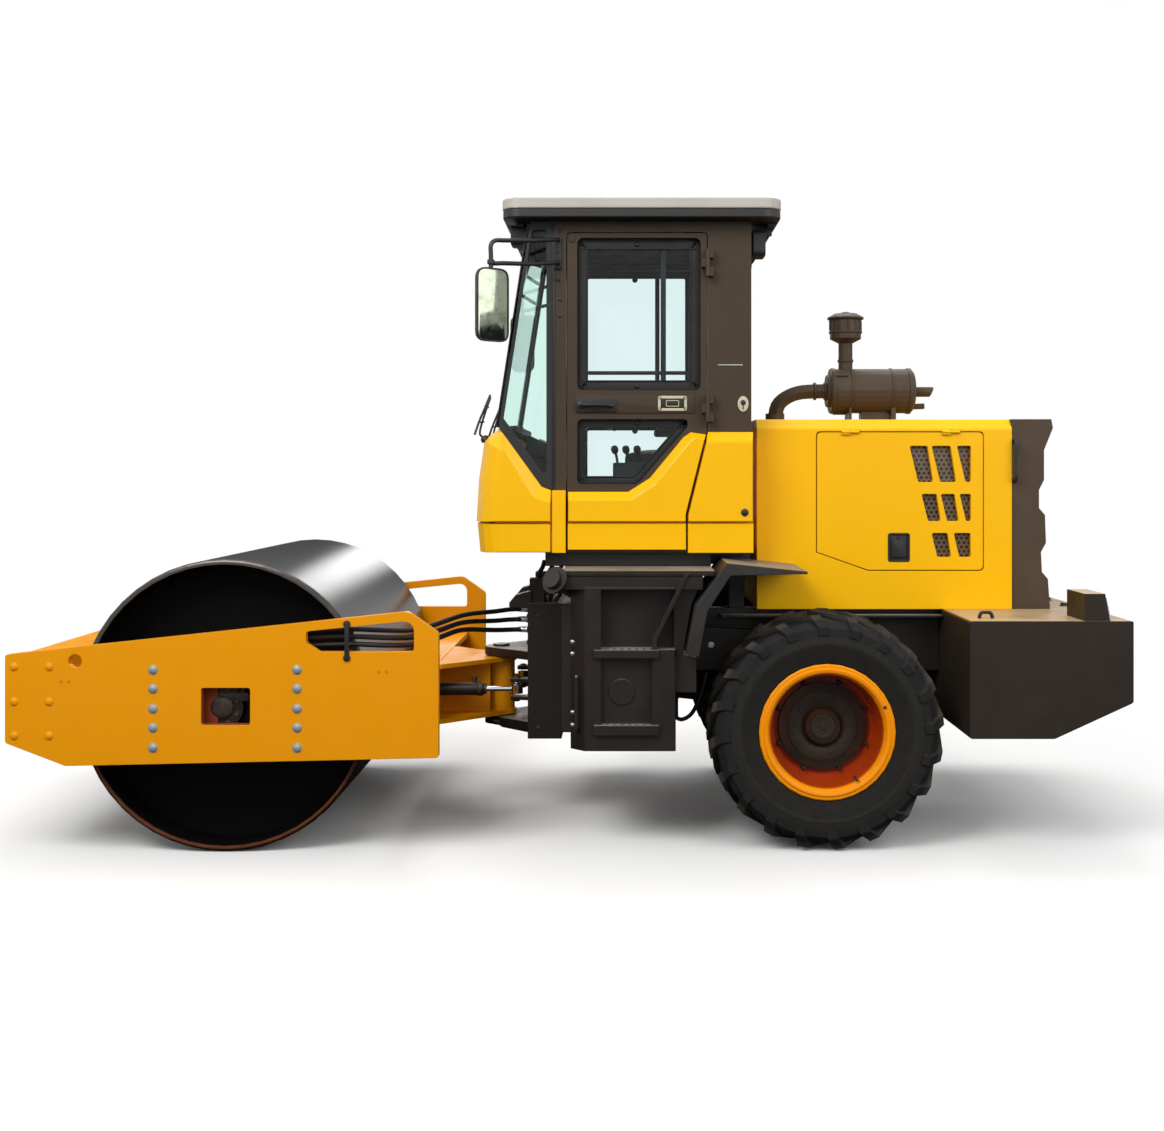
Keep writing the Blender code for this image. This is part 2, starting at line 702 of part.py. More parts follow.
def frame_head():
    """Upright box at the front of the rear frame, with hinge plates, pivot pin and cylinder ears."""
    x_low, x_high = HEAD_X
    z_low, z_high = HEAD_Z
    half = HEAD_HALF_WIDTH
    inside = x_low + 0.02
    pieces = [block((x_low, x_high), (-half, half), (z_low, z_high))]
    tip = BARREL_RADIUS + 0.015
    plate = [
        Corner(inside, half - 0.03, 0),
        *arc_points((PIVOT_X, 0), tip, 120, 240, 8),
        Corner(inside, -half + 0.03, 0),
    ]
    top = REAR_BEAM_Z[1] + RUN
    bottom = REAR_BEAM_Z[0] - RUN
    for low, high in ((top, top + HINGE_PLATE), (bottom - HINGE_PLATE, bottom)):
        pieces.append(flat(plate, "plan", low, high))
    pieces.append(rod((PIVOT_X, 0, bottom - HINGE_PLATE - 0.012), (PIVOT_X, 0, top + HINGE_PLATE + 0.012),
                      PIVOT_PIN_RADIUS, 20))
    gusset = corners(((inside, z_low - 0.010, 0), (inside, bottom - 0.02, 0),
                      (PIVOT_X - 0.040, bottom - 0.02, 0),
                      (PIVOT_X + 0.015, bottom - HINGE_PLATE - 0.010, 0)))
    pieces.append(flat(gusset, "side", -GUSSET_HALF_WIDTH, GUSSET_HALF_WIDTH))
    horn = corners(((inside, z_high - 0.03, 0), (inside, z_high + 0.065, 0),
                    (x_low - 0.068, z_high + 0.040, 0.010), (x_low - 0.100, z_high + 0.002, 0.010),
                    (x_low - 0.100, z_high - 0.021, 0)))
    stub_x = (x_low + 0.008, x_low + 0.088)
    for side in (-1, 1):
        low, high = across(side, *HORN_Y)
        pieces.append(flat(horn, "side", low, high))
        pieces.append(block(stub_x, (low + 0.01, high - 0.01), (z_high - 0.02, HOSE_STUB_TOP)))
        ear_x, ear_y = RAM_REAR
        ear = [
            Corner(inside, side * ear_y - 0.050, 0), Corner(inside, side * ear_y + 0.050, 0),
            *arc_points((ear_x, side * ear_y), 0.035, 60, 300, 8),
        ]
        for low in (RAM_Z - ROD_EYE_HALF - 0.032, RAM_Z + ROD_EYE_HALF + 0.012):
            pieces.append(flat(ear, "plan", low, low + 0.020))
    part("frame_head", joined(pieces), DARK)


def frame_rails():
    """Two rails with flanges and cross members, and the platform on posts that carries the cab."""
    front = HEAD_X[1] + SEAT
    top = FRAME_TOP - 0.0005
    pieces = []
    for side in (-1, 1):
        low, high = across(side, *RAIL_Y)
        outline = corners(((front, 0.500, 0), (0.250, 0.500, 0), (0.420, RAIL_BOTTOM, 0),
                           (RAIL_END_X - SEAT, RAIL_BOTTOM, 0), (RAIL_END_X - SEAT, top, 0),
                           (front, top, 0)))
        pieces.append(flat(outline, "side", low, high))
        pieces.append(block((FLANGE_X[0], RAIL_END_X - 0.005), across(side, RAIL_Y[0] + 0.02, FLANGE_Y),
                            (FLANGE_TOP - FLANGE, FLANGE_TOP)))
        for post_x in CAB_POST_X:
            pieces.append(block((post_x, post_x + CAB_POST_LENGTH), (low + 0.004, high - 0.004),
                                (FRAME_TOP - 0.02, PLATFORM_Z[0] + 0.01)))
    inner = RAIL_Y[0] + 0.01
    for start, end, z_low in ((front, front + 0.030, 0.520), (0.560, 0.620, 0.860),
                              (1.790, 1.850, 0.860)):
        pieces.append(block((start, end), (-inner, inner), (z_low, FRAME_TOP - 0.02)))
    x_low, x_high = PLATFORM_X
    holes = []
    for start, end in ((0.130, 0.420), (0.480, 0.770)):
        for side in (-1, 1):
            low, high = across(side, 0.060, 0.440)
            holes.append(square(start, low, end, high, 0.020))
    narrow = HOOD_HALF - SEAT
    rim = corners(((x_low, -PLATFORM_HALF, 0), (PLATFORM_STEP_X, -PLATFORM_HALF, 0),
                   (PLATFORM_STEP_X, -narrow, 0), (x_high, -narrow, 0), (x_high, narrow, 0),
                   (PLATFORM_STEP_X, narrow, 0), (PLATFORM_STEP_X, PLATFORM_HALF, 0),
                   (x_low, PLATFORM_HALF, 0)))
    pieces.append(flat(rim, "plan", *PLATFORM_Z, holes))
    part("frame_rails", joined(pieces), DARK)


def rear_axle():
    """Drive axle: housing with the differential bowl, hubs and the pads below the rails."""
    end = TRACK_HALF - HUB_INBOARD - SEAT
    centre = TYRE_RADIUS
    tube = turned([(0, end), (AXLE_HUB_RADIUS, end), (AXLE_HUB_RADIUS, end - 0.070),
                   (AXLE_TUBE_RADIUS, end - 0.110), (AXLE_TUBE_RADIUS, 0.200), (DIFF_RADIUS, 0.070),
                   (DIFF_RADIUS, -0.070), (AXLE_TUBE_RADIUS, -0.200), (AXLE_TUBE_RADIUS, -end + 0.110),
                   (AXLE_HUB_RADIUS, -end + 0.070), (AXLE_HUB_RADIUS, -end), (0, -end)],
                  (REAR_AXLE_X, 0, centre), (0, 1, 0), 20)
    pieces = [tube, rod((REAR_AXLE_X - 0.300, 0, centre), (REAR_AXLE_X, 0, centre), 0.075, 20)]
    for side in (-1, 1):
        y_range = across(side, RAIL_Y[0], RAIL_Y[1])
        pieces.append(block((REAR_AXLE_X - 0.110, REAR_AXLE_X + 0.110), y_range,
                            (centre, RAIL_BOTTOM - SEAT)))
    part("rear_axle", joined(pieces), DARK, 30)


def drive_line():
    """Gearbox between the rails, below the cab, with the shaft back to the axle."""
    z = 0.760
    case = block((0.130, 0.540), (-0.240, 0.240), (0.520, 1.000))
    nose = rod((0.060, 0, z), (0.200, 0, z), 0.150, 24)
    tie = block((0.180, 0.300), (-RAIL_Y[0] + SEAT, RAIL_Y[0] - SEAT), (0.850, 0.950))
    joint = REAR_AXLE_X - 0.300 - SEAT
    shaft = rod((0.500, 0, 0.620), (joint - 0.020, 0, TYRE_RADIUS + 0.002), 0.035, 16)
    yoke = rod((joint - 0.040, 0, TYRE_RADIUS), (joint, 0, TYRE_RADIUS), 0.070, 16)
    part("gearbox", joined([case, nose, tie, shaft, yoke]), DARK, 30)


def engine():
    """The engine as one plain block on the rails."""
    block_item = block((1.020, 1.760), (-0.280, 0.280), (0.900, 1.760))
    feet = block((1.300, 1.420), (-RAIL_Y[0] + SEAT, RAIL_Y[0] - SEAT), (0.920, 1.060))
    part("engine_block", joined([block_item, feet]), DARK)


def counterweight():
    """Cast weight behind the wheels, with the two tail lamp housings on its top."""
    x_low, x_high = WEIGHT_X
    outline = corners(((x_low, WEIGHT_BOTTOM, 0.010), (2.300, WEIGHT_BOTTOM, 0.020),
                       (x_high, 0.731, 0.015), (x_high, FRAME_TOP, 0.008), (x_low, FRAME_TOP, 0.008)))
    pieces = [flat(outline, "side", -WEIGHT_HALF_WIDTH, WEIGHT_HALF_WIDTH)]
    x_front, x_back = LAMP_BOX_X
    housing = corners(((x_front, FRAME_TOP - 0.02, 0), (x_back + 0.028, FRAME_TOP - 0.02, 0),
                       (x_back, LAMP_BOX_TOP, 0), (x_front, LAMP_BOX_TOP, 0)))
    for side in (-1, 1):
        low, high = across(side, WEIGHT_HALF_WIDTH - LAMP_BOX_WIDTH, WEIGHT_HALF_WIDTH - 0.002)
        pieces.append(flat(housing, "side", low, high))
    part("counterweight", joined(pieces), DARK)


# Wheels

def lug(tilt, side, base):
    """Return the points of one tyre lug, from the crown to the shoulder, in three sections."""
    points = []
    for reach, half, top, foot in LUG_SECTIONS:
        middle = base + tilt * reach / TYRE_HALF_WIDTH
        for radius, sign in ((foot, -1), (foot, 1), (top, 1), (top, -1)):
            angle = middle + sign * half / radius
            points.append((radius * math.cos(angle), radius * math.sin(angle), side * reach))
    return points


def lug_ring(wheel_side):
    """Build all the lugs of one tyre as one mesh of separate bars, on an axis along Z."""
    work = bmesh.new()
    tilt = math.radians(LUG_TILT) * wheel_side
    for place in range(LUG_PAIRS):
        for side in (-1, 1):
            base = math.tau * (place + (0.25 if side > 0 else -0.25)) / LUG_PAIRS - math.pi / 2
            verts = [work.verts.new(point) for point in lug(tilt, side, base)]
            for section in range(len(LUG_SECTIONS) - 1):
                for edge in range(4):
                    a = section * 4 + edge
                    b = section * 4 + (edge + 1) % 4
                    work.faces.new((verts[a], verts[b], verts[b + 4], verts[a + 4]))
            work.faces.new(verts[3::-1])
            work.faces.new(verts[-4:])
    bmesh.ops.recalc_face_normals(work, faces=work.faces)
    mesh = bpy.data.meshes.new("lugs")
    work.to_mesh(mesh)
    work.free()
    return mesh_item("lugs", mesh)


def wheels():
    """Rear tyres with their lugs, and the rims with their hubs."""
    bead = RIM_HALF_WIDTH - 0.018 - SEAT
    inner = RIM_BARREL_RADIUS + SEAT
    lip = RIM_FLANGE_RADIUS + 0.004
    carcass = [
        (inner, 0), (inner, bead), (lip, bead), (lip, 0.186), (0.430, 0.205), (0.505, 0.198),
        (0.536, 0.168), (0.549, 0),
    ]
    side_wall = carcass[1:] + [(radius, -width) for radius, width in reversed(carcass[1:-1])]
    tyre_profile = side_wall + [side_wall[0]]
    flange = RIM_FLANGE_RADIUS
    rim_profile = [
        (0, 0.030), (0.085, 0.030), (0.100, 0.005), (HUB_RADIUS, 0.005), (HUB_RADIUS, -0.020),
        (0.258, -0.020), (RIM_OPENING_RADIUS, 0.160), (0.295, RIM_HALF_WIDTH),
        (flange - 0.006, RIM_HALF_WIDTH), (flange, RIM_HALF_WIDTH - 0.006),
        (flange, RIM_HALF_WIDTH - 0.018),
        (RIM_BARREL_RADIUS, RIM_HALF_WIDTH - 0.018), (RIM_BARREL_RADIUS, -RIM_HALF_WIDTH + 0.018),
        (flange, -RIM_HALF_WIDTH + 0.018), (flange, -RIM_HALF_WIDTH), (0.280, -RIM_HALF_WIDTH),
        (0.270, -0.060), (AXLE_HUB_RADIUS, -0.060), (AXLE_HUB_RADIUS, -HUB_INBOARD), (0, -HUB_INBOARD),
    ]
    for name, side in both_sides():
        at = (REAR_AXLE_X, side * TRACK_HALF, TYRE_RADIUS)
        tyre = turned(tyre_profile, (0, 0, 0), (0, 0, 1), WHEEL_STEPS)
        tyre = baked(joined([tyre, lug_ring(side)]))
        tyre.data.transform(Matrix.Translation(at) @ Matrix.Rotation(-side * math.pi / 2, 4, "X"))
        part("tyre_" + name, tyre, RUBBER, 35)
        part("rim_" + name, turned(rim_profile, at, (0, side, 0), WHEEL_STEPS), ORANGE, 30)


# Step boxes and fenders

def step_boxes():
    """Tanks beside the frame with deck, ribs and two steps; the left one has the filler neck."""
    x_low, x_high = TANK_X
    z_low, z_high = TANK_Z
    deck_low = z_high - DECK
    upper_step, lower_step = STEP_Z
    outer = TANK_Y
    brace = corners(((RIB_REAR_X - RIB, upper_step[0] + 0.01, 0), (RIB_REAR_X, upper_step[0] + 0.01, 0),
                     (RIB_REAR_X, RIB_BEND_Z, 0), (RIB_TOP_X, deck_low + 0.01, 0),
                     (RIB_TOP_X - RIB * 1.1, deck_low + 0.01, 0), (RIB_REAR_X - RIB, RIB_BEND_Z, 0)))
    back = corners(((x_high - 0.01, 0.760, 0), (0.600, 0.760, 0), (0.600, 0.930, 0), (0.535, 0.945, 0),
                    (0.578, 1.190, 0), (0.615, HEADER_Z + 0.01, 0), (x_high - 0.01, HEADER_Z + 0.01, 0)))
    for name, side in both_sides():
        inner = RAIL_Y[1] + SEAT
        plan = [
            Corner(x_low + TANK_CORNER, side * outer, 0), Corner(x_low, side * (outer - TANK_CORNER), 0),
            Corner(x_low, side * inner, 0), Corner(x_high, side * inner, 0),
            Corner(x_high, side * outer, 0.012),
        ]
        body = flat(plan, "plan", z_low, HEADER_Z + 0.01)
        cuts = [
            block((RIB_FRONT_X[1], RIB_REAR_X - RIB), across(side, outer - TOE_DEPTH, outer + 0.1),
                  (lower_step[1], upper_step[0])),
            block((RIB_FRONT_X[1], x_high + 0.1), across(side, outer - FOOT_DEPTH, outer + 0.1),
                  (upper_step[1], HEADER_Z)),
        ]
        pieces = [
            baked(carved(body, cuts)),
            block((DECK_X[0], DECK_X[1] - 0.057), across(side, inner + 0.001, outer - 0.005),
                  (HEADER_Z, deck_low + 0.01)),
            block(DECK_X, across(side, inner, outer), (deck_low, z_high)),
            flat(back, "side", *across(side, inner + 0.002, outer - 0.050)),
            flat(brace, "side", *across(side, outer - FOOT_DEPTH - 0.01, outer + 0.003)),
            block((x_low - FLANGE_DEPTH, x_low + 0.01), across(side, inner + 0.003, outer - TANK_CORNER),
                  (0.563, 1.190)),
            rod((EMBOSS[0], side * (outer - TOE_DEPTH - 0.01), EMBOSS[1]),
                (EMBOSS[0], side * (outer - TOE_DEPTH + 0.006), EMBOSS[1]), EMBOSS_RADIUS, 24),
            pipe([(0.018, side * (outer - 0.055), 0.838), (0.018, side * (outer - 0.004), 0.835),
                  (0.018, side * (outer - 0.004), 0.590), (0.018, side * (outer - 0.055), 0.587)],
                 0.009, 1, False),
        ]
        for low, high in STEP_Z:
            pieces.append(block((RIB_FRONT_X[0], RIB_REAR_X + 0.010),
                                across(side, outer - FOOT_DEPTH - 0.01, outer + STEP_LIP), (low, high)))
        if side < 0:
            start, end = Vector(FILLER_FOOT), Vector(FILLER_END)
            along = (end - start).normalized()
            pieces.append(rod(start - along * 0.08, end, 0.038, 16))
            pieces.append(rod(end - along * 0.012, end, FILLER_FLANGE_RADIUS, 20))
            pieces.append(rod(end - along * 0.002, end + along * 0.026, FILLER_CAP_RADIUS, 20))
        part("tank_" + name, joined(pieces), DARK)


FENDER_PATH = (
    # X and Z of the top surface, from the front lower end to the rear tip
    (0.545, 0.960), (0.590, 1.190), (0.740, 1.395), (1.125, 1.355),
)


def fender_outline(depth, tip):
    """Return a strip below the fender's path, as thick as depth and narrowing to the tip."""
    path = [Vector(point) for point in FENDER_PATH]
    under = []
    for place, point in enumerate(path):
        ahead = path[min(place + 1, len(path) - 1)]
        behind = path[max(place - 1, 0)]
        along = (ahead - behind).normalized()
        reach = tip if place == len(path) - 1 else depth
        under.append(point + Vector((along.y, -along.x)) * reach)
    return [Corner(point.x, point.y, 0) for point in path + under[::-1]]


def fenders():
    """Folded plates over the wheels, each with a lip along its outer edge."""
    for name, side in both_sides():
        low, high = across(side, HOOD_HALF + SEAT, FENDER_Y)
        sheet = flat(fender_outline(FENDER_PLATE, FENDER_PLATE), "side", low, high)
        low, high = across(side, FENDER_Y - FENDER_PLATE, FENDER_Y + 0.001)
        lip = flat(fender_outline(FENDER_LIP, FENDER_PLATE), "side", low, high)
        part("fender_" + name, joined([sheet, lip]), DARK)


# Cab

WINDSHIELD_TOP = (-0.223, 3.0945)
WINDSHIELD_FOOT = (-0.383, 2.056)
SILL = ((-0.165, 1.755), (-0.112, 1.738))

def door_outline(gap, radius):
    """Return the door's outline, or that of its opening when the gap is positive."""
    x_low, x_high = DOOR_X
    z_low, z_high = DOOR_Z
    return corners(((x_low - gap, z_low - gap, radius), (DOOR_HEEL_X + gap, z_low - gap, radius),
                    (DOOR_HEEL_X + gap, DOOR_HEEL_Z[0] - gap * 0.25, 0.010),
                    (x_high + gap, DOOR_HEEL_Z[1] - gap * 0.25, 0.010),
                    (x_high + gap, z_high + gap, radius), (x_low - gap, z_high + gap, radius)))


DOOR_OPENING = door_outline(RUN, 0.020)
FRAME_OUTER = CAB_HALF - SKIN - SEAT


def cab_sides():
    """Side frames of the cab with the door opening and the hinge leaves."""
    outline = square(CAB_X[0], CAB_Z[0], CAB_X[1], CAB_Z[1])
    for name, side in both_sides():
        low, high = across(side, FRAME_OUTER - CAB_FRAME_WALL, FRAME_OUTER)
        pieces = [flat(outline, "side", low, high, (DOOR_OPENING,))]
        for z in HINGE_HEIGHTS:
            for step in (-1, 1):
                middle = z + step * (KNUCKLE_LENGTH + SEAT)
                pieces.extend(hinge_half(side, middle, 1))
        part("cab_side_" + name, joined(pieces), BROWN)


HINGE_HEIGHTS = (2.150, 2.880)
HINGE_X = DOOR_X[1] + RUN / 2
HINGE_Y = CAB_HALF + KNUCKLE_RADIUS


def hinge_half(side, z, direction):
    """Return a knuckle on the door's axis and its leaf, towards the frame (1) or the door (-1)."""
    half = KNUCKLE_LENGTH / 2
    knuckle = rod((HINGE_X, side * HINGE_Y, z - half), (HINGE_X, side * HINGE_Y, z + half),
                  KNUCKLE_RADIUS, 12)
    x_range = tuple(sorted((HINGE_X, HINGE_X + direction * 0.030)))
    x_foot = tuple(sorted((HINGE_X + direction * 0.006, HINGE_X + direction * 0.030)))
    leaf = block(x_range, across(side, CAB_HALF + 0.004, HINGE_Y + 0.004), (z - half, z + half))
    foot = block(x_foot, across(side, FRAME_OUTER - 0.005, HINGE_Y), (z - half, z + half))
    return [knuckle, leaf, foot]


def door_windows():
    """Return the outlines of a door's upper and lower window."""
    x_low = DOOR_X[0] + DOOR_FRONT_STILE
    upper = square(x_low, DOOR_RAIL_Z[1], DOOR_X[1] - DOOR_REAR_STILE, DOOR_Z[1] - DOOR_HEAD, 0.030)
    lower = corners(((x_low, DOOR_SILL_Z, 0.020), (0.318, DOOR_SILL_Z, 0.040), (0.570, 2.058, 0.020),
                     (0.570, DOOR_RAIL_Z[0], 0.015), (x_low, DOOR_RAIL_Z[0], 0.020)))
    return upper, lower


def skin_panel(outline, margins, side):
    """Return a yellow panel of the cab's side, with a groove and, above it, a raised face.

    The outline starts with its two lower corners; margins gives the chamfer's width along each edge.
    """
    inner = FRAME_OUTER + SEAT
    face = CAB_HALF + RAISE
    left, right = outline[:2]
    lower = square(left.u, left.v, right.u, CREASE_Z - CREASE)
    link_strip = square(left.u + 0.002, CREASE_Z - 0.05, right.u - 0.002, CREASE_Z + 0.05)
    upper = [left._replace(v=CREASE_Z), right._replace(v=CREASE_Z), *outline[2:]]
    none = [0.0] * len(margins)
    shoulder = [width * SHOULDER for width in margins]
    rings = ((side * inner, none), (side * (inner + SKIN_RIM), none), (side * (face - 0.003), shoulder),
             (side * face, margins))
    return joined([
        layered(upper, rings),
        flat(lower, "side", *across(side, inner, CAB_HALF)),
        flat(link_strip, "side", *across(side, inner + 0.0005, inner + SKIN_RIM)),
    ])


def doors():
    """Doors with two windows, a pane, a yellow lower skin and hinge leaves."""
    x_low, x_high = DOOR_X
    z_low, z_high = DOOR_Z
    skin = corners(((x_low + 0.004, z_low, 0), (DOOR_HEEL_X, z_low, 0), (DOOR_HEEL_X, DOOR_HEEL_Z[0], 0),
                    (x_high - 0.004, DOOR_HEEL_Z[1] - 0.012, 0), (0.585, DOOR_HEEL_Z[1] - 0.001, 0),
                    (0.548, 2.005, 0), (0.380, 1.800, 0), (0.270, 1.730, 0), (x_low + 0.004, 1.730, 0)))
    margins = (0.004, 0.003, 0.004, 0.030, 0.040, DOOR_CHAMFER, DOOR_CHAMFER, DOOR_CHAMFER, 0.003)
    pane = corners(((x_low + 0.030, 1.725, 0.020), (DOOR_HEEL_X - 0.015, 1.725, 0.020),
                    (x_high - 0.012, DOOR_HEEL_Z[1], 0.010), (x_high - 0.012, z_high - 0.010, 0.020),
                    (x_low + 0.030, z_high - 0.010, 0.020)))
    for name, side in both_sides():
        outer = FRAME_OUTER
        frame = flat(door_outline(0, 0.015), "side", *across(side, outer - DOOR_WALL, outer), door_windows())
        pieces = [frame]
        for z in HINGE_HEIGHTS:
            pieces.extend(hinge_half(side, z, -1))
        part("door_" + name, joined(pieces), BROWN)
        part("door_skin_" + name, skin_panel(skin, margins, side), YELLOW)
        low, high = across(side, outer - DOOR_WALL - SEAT - GLASS, outer - DOOR_WALL - SEAT)
        part("door_glass_" + name, flat(pane, "side", low, high), CLEAR)


def cab_tub():
    """Floor and rear wall of the cab, with the rear window opening."""
    inner = FRAME_OUTER - CAB_FRAME_WALL - SEAT
    floor = block((CAB_X[0], CAB_X[1]), (-inner, inner), (CAB_Z[0], CAB_Z[0] + CAB_FLOOR))
    window = square(-0.520, 2.200, 0.520, 2.990, 0.040)
    wall = flat(square(-inner, CAB_Z[0] + 0.010, inner, CAB_Z[1]), "front", CAB_X[1] - 0.040, CAB_X[1],
                (window,))
    header = block((WINDSHIELD_TOP[0] + 0.050, CAB_X[1] - 0.020), (-inner, inner), (3.060, CAB_Z[1]))
    opening = block((-0.100, 0.800), (-inner + 0.060, inner - 0.060), (3.000, 3.200))
    part("cab_tub", carved(joined([floor, wall, header]), [opening]), BROWN)
    pane = square(-0.545, 2.175, 0.545, 3.015, 0.040)
    part("rear_glass", flat(pane, "front", CAB_X[1] - 0.040 - SEAT - GLASS, CAB_X[1] - 0.040 - SEAT), CLEAR)


def cowl_layers(outline, kinds, face):
    """Loft the cowl across the cab; kinds names the edges: h hidden, u upper, f front."""
    rings = []
    for inside, hidden, upper, front in COWL_RINGS:
        widths = {"h": hidden, "u": upper, "f": front}
        rings.append((face - inside, [widths[kind] for kind in kinds]))
    return layered(outline, [(-y, margins) for y, margins in rings] + rings[::-1])


def cab_cowl():
    """Yellow cowl below the windshield, with a raised upper part, and the strips over the pillars."""
    floor = CAB_Z[0]
    rear = CAB_X[0] - COWL_SEAM
    crease = CREASE_Z - CREASE
    upper = corners(((-0.502, CREASE_Z, 0), (rear, CREASE_Z, 0), (rear, SILL[1][1] - SEAT, 0),
                     (SILL[0][0] - SEAT, SILL[0][1] - SEAT, 0),
                     (WINDSHIELD_FOOT[0] - SEAT, WINDSHIELD_FOOT[1] - SEAT, 0), (-0.462, 1.990, 0),
                     (-0.490, 1.790, 0)))
    lower = corners(((-0.484, floor, 0), (rear, floor, 0), (rear, crease, 0), (-0.498, crease, 0)))
    pieces = [
        cowl_layers(upper, "hhuufff", CAB_HALF + RAISE),
        cowl_layers(lower, "hhhf", CAB_HALF),
        flat(square(-0.472, CREASE_Z - 0.06, rear - 0.002, CREASE_Z + 0.06), "side", -0.590, 0.590),
        flat(square(-0.400, CREASE_Z - 0.05, rear - 0.003, CREASE_Z + 0.05), "side", -0.690, 0.690),
    ]
    inner = FRAME_OUTER + SEAT
    strip_end = DOOR_X[0] - 0.007
    strip_top = SILL[1][1] - SEAT
    for side in (-1, 1):
        pieces.append(flat(square(CAB_X[0], floor, strip_end, strip_top), "side",
                           *across(side, inner, CAB_HALF + 0.002)))
        pieces.append(flat(square(rear - 0.03, floor + 0.004, CAB_X[0] + 0.03, strip_top - 0.008), "side",
                           *across(side, inner + 0.0005, inner + SKIN_RIM)))
    inside = corners(((-0.446, floor + 0.030, 0), (0.000, floor + 0.030, 0), (0.000, 2.300, 0),
                      (-0.365, 2.300, 0), (-0.365, 2.030, 0), (-0.430, 1.975, 0)))
    room = flat(inside, "side", -COWL_ROOM_HALF, COWL_ROOM_HALF)
    part("cab_cowl", carved(joined(pieces), [room]), YELLOW)


def cab_front():
    """Windshield, and the black frames of the quarter windows that carry it."""
    (top_x, top_z), (foot_x, foot_z) = WINDSHIELD_TOP, WINDSHIELD_FOOT
    shift = 0.0006
    pane = corners(((top_x - shift, top_z, 0), (foot_x - shift, foot_z, 0),
                    (foot_x - shift - GLASS, foot_z, 0), (top_x - shift - GLASS, top_z, 0)))
    part("windshield", flat(pane, "side", -FRAME_OUTER, FRAME_OUTER), CLEAR)
    rear = CAB_X[0] - SEAT
    outline = corners(((rear, SILL[1][1], 0), (rear, top_z, 0), (top_x, top_z, 0), (foot_x, foot_z, 0),
                       (*SILL[0], 0)))
    tip_z = foot_z + (SILL[0][1] - foot_z) * (rear - foot_x) / (SILL[0][0] - foot_x)
    opening = corners(((rear, tip_z, 0.010), (rear, top_z, 0.010), (top_x, top_z, 0.010),
                       (foot_x, foot_z, 0.010)))
    window = inset(opening, QUARTER_MARGINS)
    glass = inset(outline, QUARTER_GLASS_MARGINS)
    for name, side in both_sides():
        inner = FRAME_OUTER - QUARTER_WALL
        frame = flat(outline, "side", *across(side, inner, FRAME_OUTER), (window,))
        part("quarter_frame_" + name, frame, BLACK)
        pane = flat(glass, "side", *across(side, inner - SEAT - GLASS, inner - SEAT))
        part("quarter_glass_" + name, pane, CLEAR)


def cab_skirt():
    """Yellow lower corners behind the doors, joined by the sheet below the rear window."""
    heel_low, heel_high = DOOR_HEEL_Z
    rear = CAB_X[1] + REAR_SHEET
    outline = corners(((DOOR_HEEL_X + SEAM, CAB_Z[0], 0), (rear, CAB_Z[0], 0), (rear, heel_high, 0),
                       (DOOR_X[1] + SEAM - 0.004, heel_high, 0), (DOOR_HEEL_X + SEAM, heel_low, 0)))
    margins = (0.004, REAR_SHEET, SKIRT_CHAMFER, 0.004, 0.003)
    half = FRAME_OUTER + SEAT + SKIN_RIM
    pieces = [flat(square(-half + 0.001, CAB_Z[0] + 0.001, half - 0.001, heel_high - 0.001), "front",
                   CAB_X[1] + SEAT, rear - 0.001)]
    for side in (-1, 1):
        pieces.append(baked(skin_panel(outline, margins, side)))
    part("cab_skirt", joined(pieces), YELLOW)


def roof():
    """Pale roof cap on a dark frame with softened edges."""
    x_low, x_high = ROOF_X
    z_low, z_high = ROOF_Z
    levels = (
        # name, how far inside the outline, lower and upper Z, width of the softened edges, material
        ("roof", 0.0, ROOF_SEAM_Z, z_high, 0.018, PALE),
        ("roof_frame", 0.003, z_low, ROOF_SEAM_Z - SEAT, 0.012, BLACK),
    )
    for name, margin, low, high, edge, material in levels:
        outline = square(x_low + margin, margin - ROOF_HALF, x_high - margin, ROOF_HALF - margin,
                         0.090 - margin)
        item = flat(outline, "plan", low, high)
        bevel = item.modifiers.new("Edge", "BEVEL")
        bevel.width = edge
        bevel.segments = 2
        bevel.limit_method = "ANGLE"
        bevel.angle_limit = math.radians(60)
        part(name, baked(item), material, 30)


def cab_inside():
    """Seat on its pedestal, and the steering column with console and wheel."""
    floor = CAB_Z[0] + CAB_FLOOR + SEAT
    cushion = block((0.250, 0.720), (-0.250, 0.250), (1.830, 1.960))
    back = flat(corners(((0.640, 1.900, 0.02), (0.740, 1.900, 0.02), (0.800, 2.400, 0.03),
                         (0.730, 2.400, 0.03))), "side", -0.235, 0.235)
    pedestal = block((0.330, 0.640), (-0.180, 0.180), (floor, 1.850))
    part("seat", joined([cushion, back, pedestal]), BLACK)

    console = flat(corners(((-0.300, 1.900, 0.02), (-0.060, 1.900, 0.02), (-0.030, floor, 0),
                            (-0.110, floor, 0), (-0.110, 1.60, 0))), "side", -0.200, 0.200)
    axis = Vector((0.45, 0, 0.893)).normalized()
    foot = Vector((-0.120, 0, 1.860))
    hub = foot + axis * 0.330
    column = rod(foot, hub, 0.030, 16)
    bpy.ops.mesh.primitive_torus_add(major_radius=0.190, minor_radius=0.014, major_segments=20,
                                     minor_segments=6)
    ring = bpy.context.object
    bpy.context.collection.objects.unlink(ring)
    link(ring, "cutters")
    ring.matrix_world = Matrix.Translation(hub) @ axis.to_track_quat("Z", "Y").to_matrix().to_4x4()
    ring = baked(ring)
    sideways = Vector((0, 1, 0))
    spoke = rod(hub - sideways * 0.190, hub + sideways * 0.190, 0.012, 8)
    part("steering_column", joined([console, column, spoke, ring]), BLACK, 30)


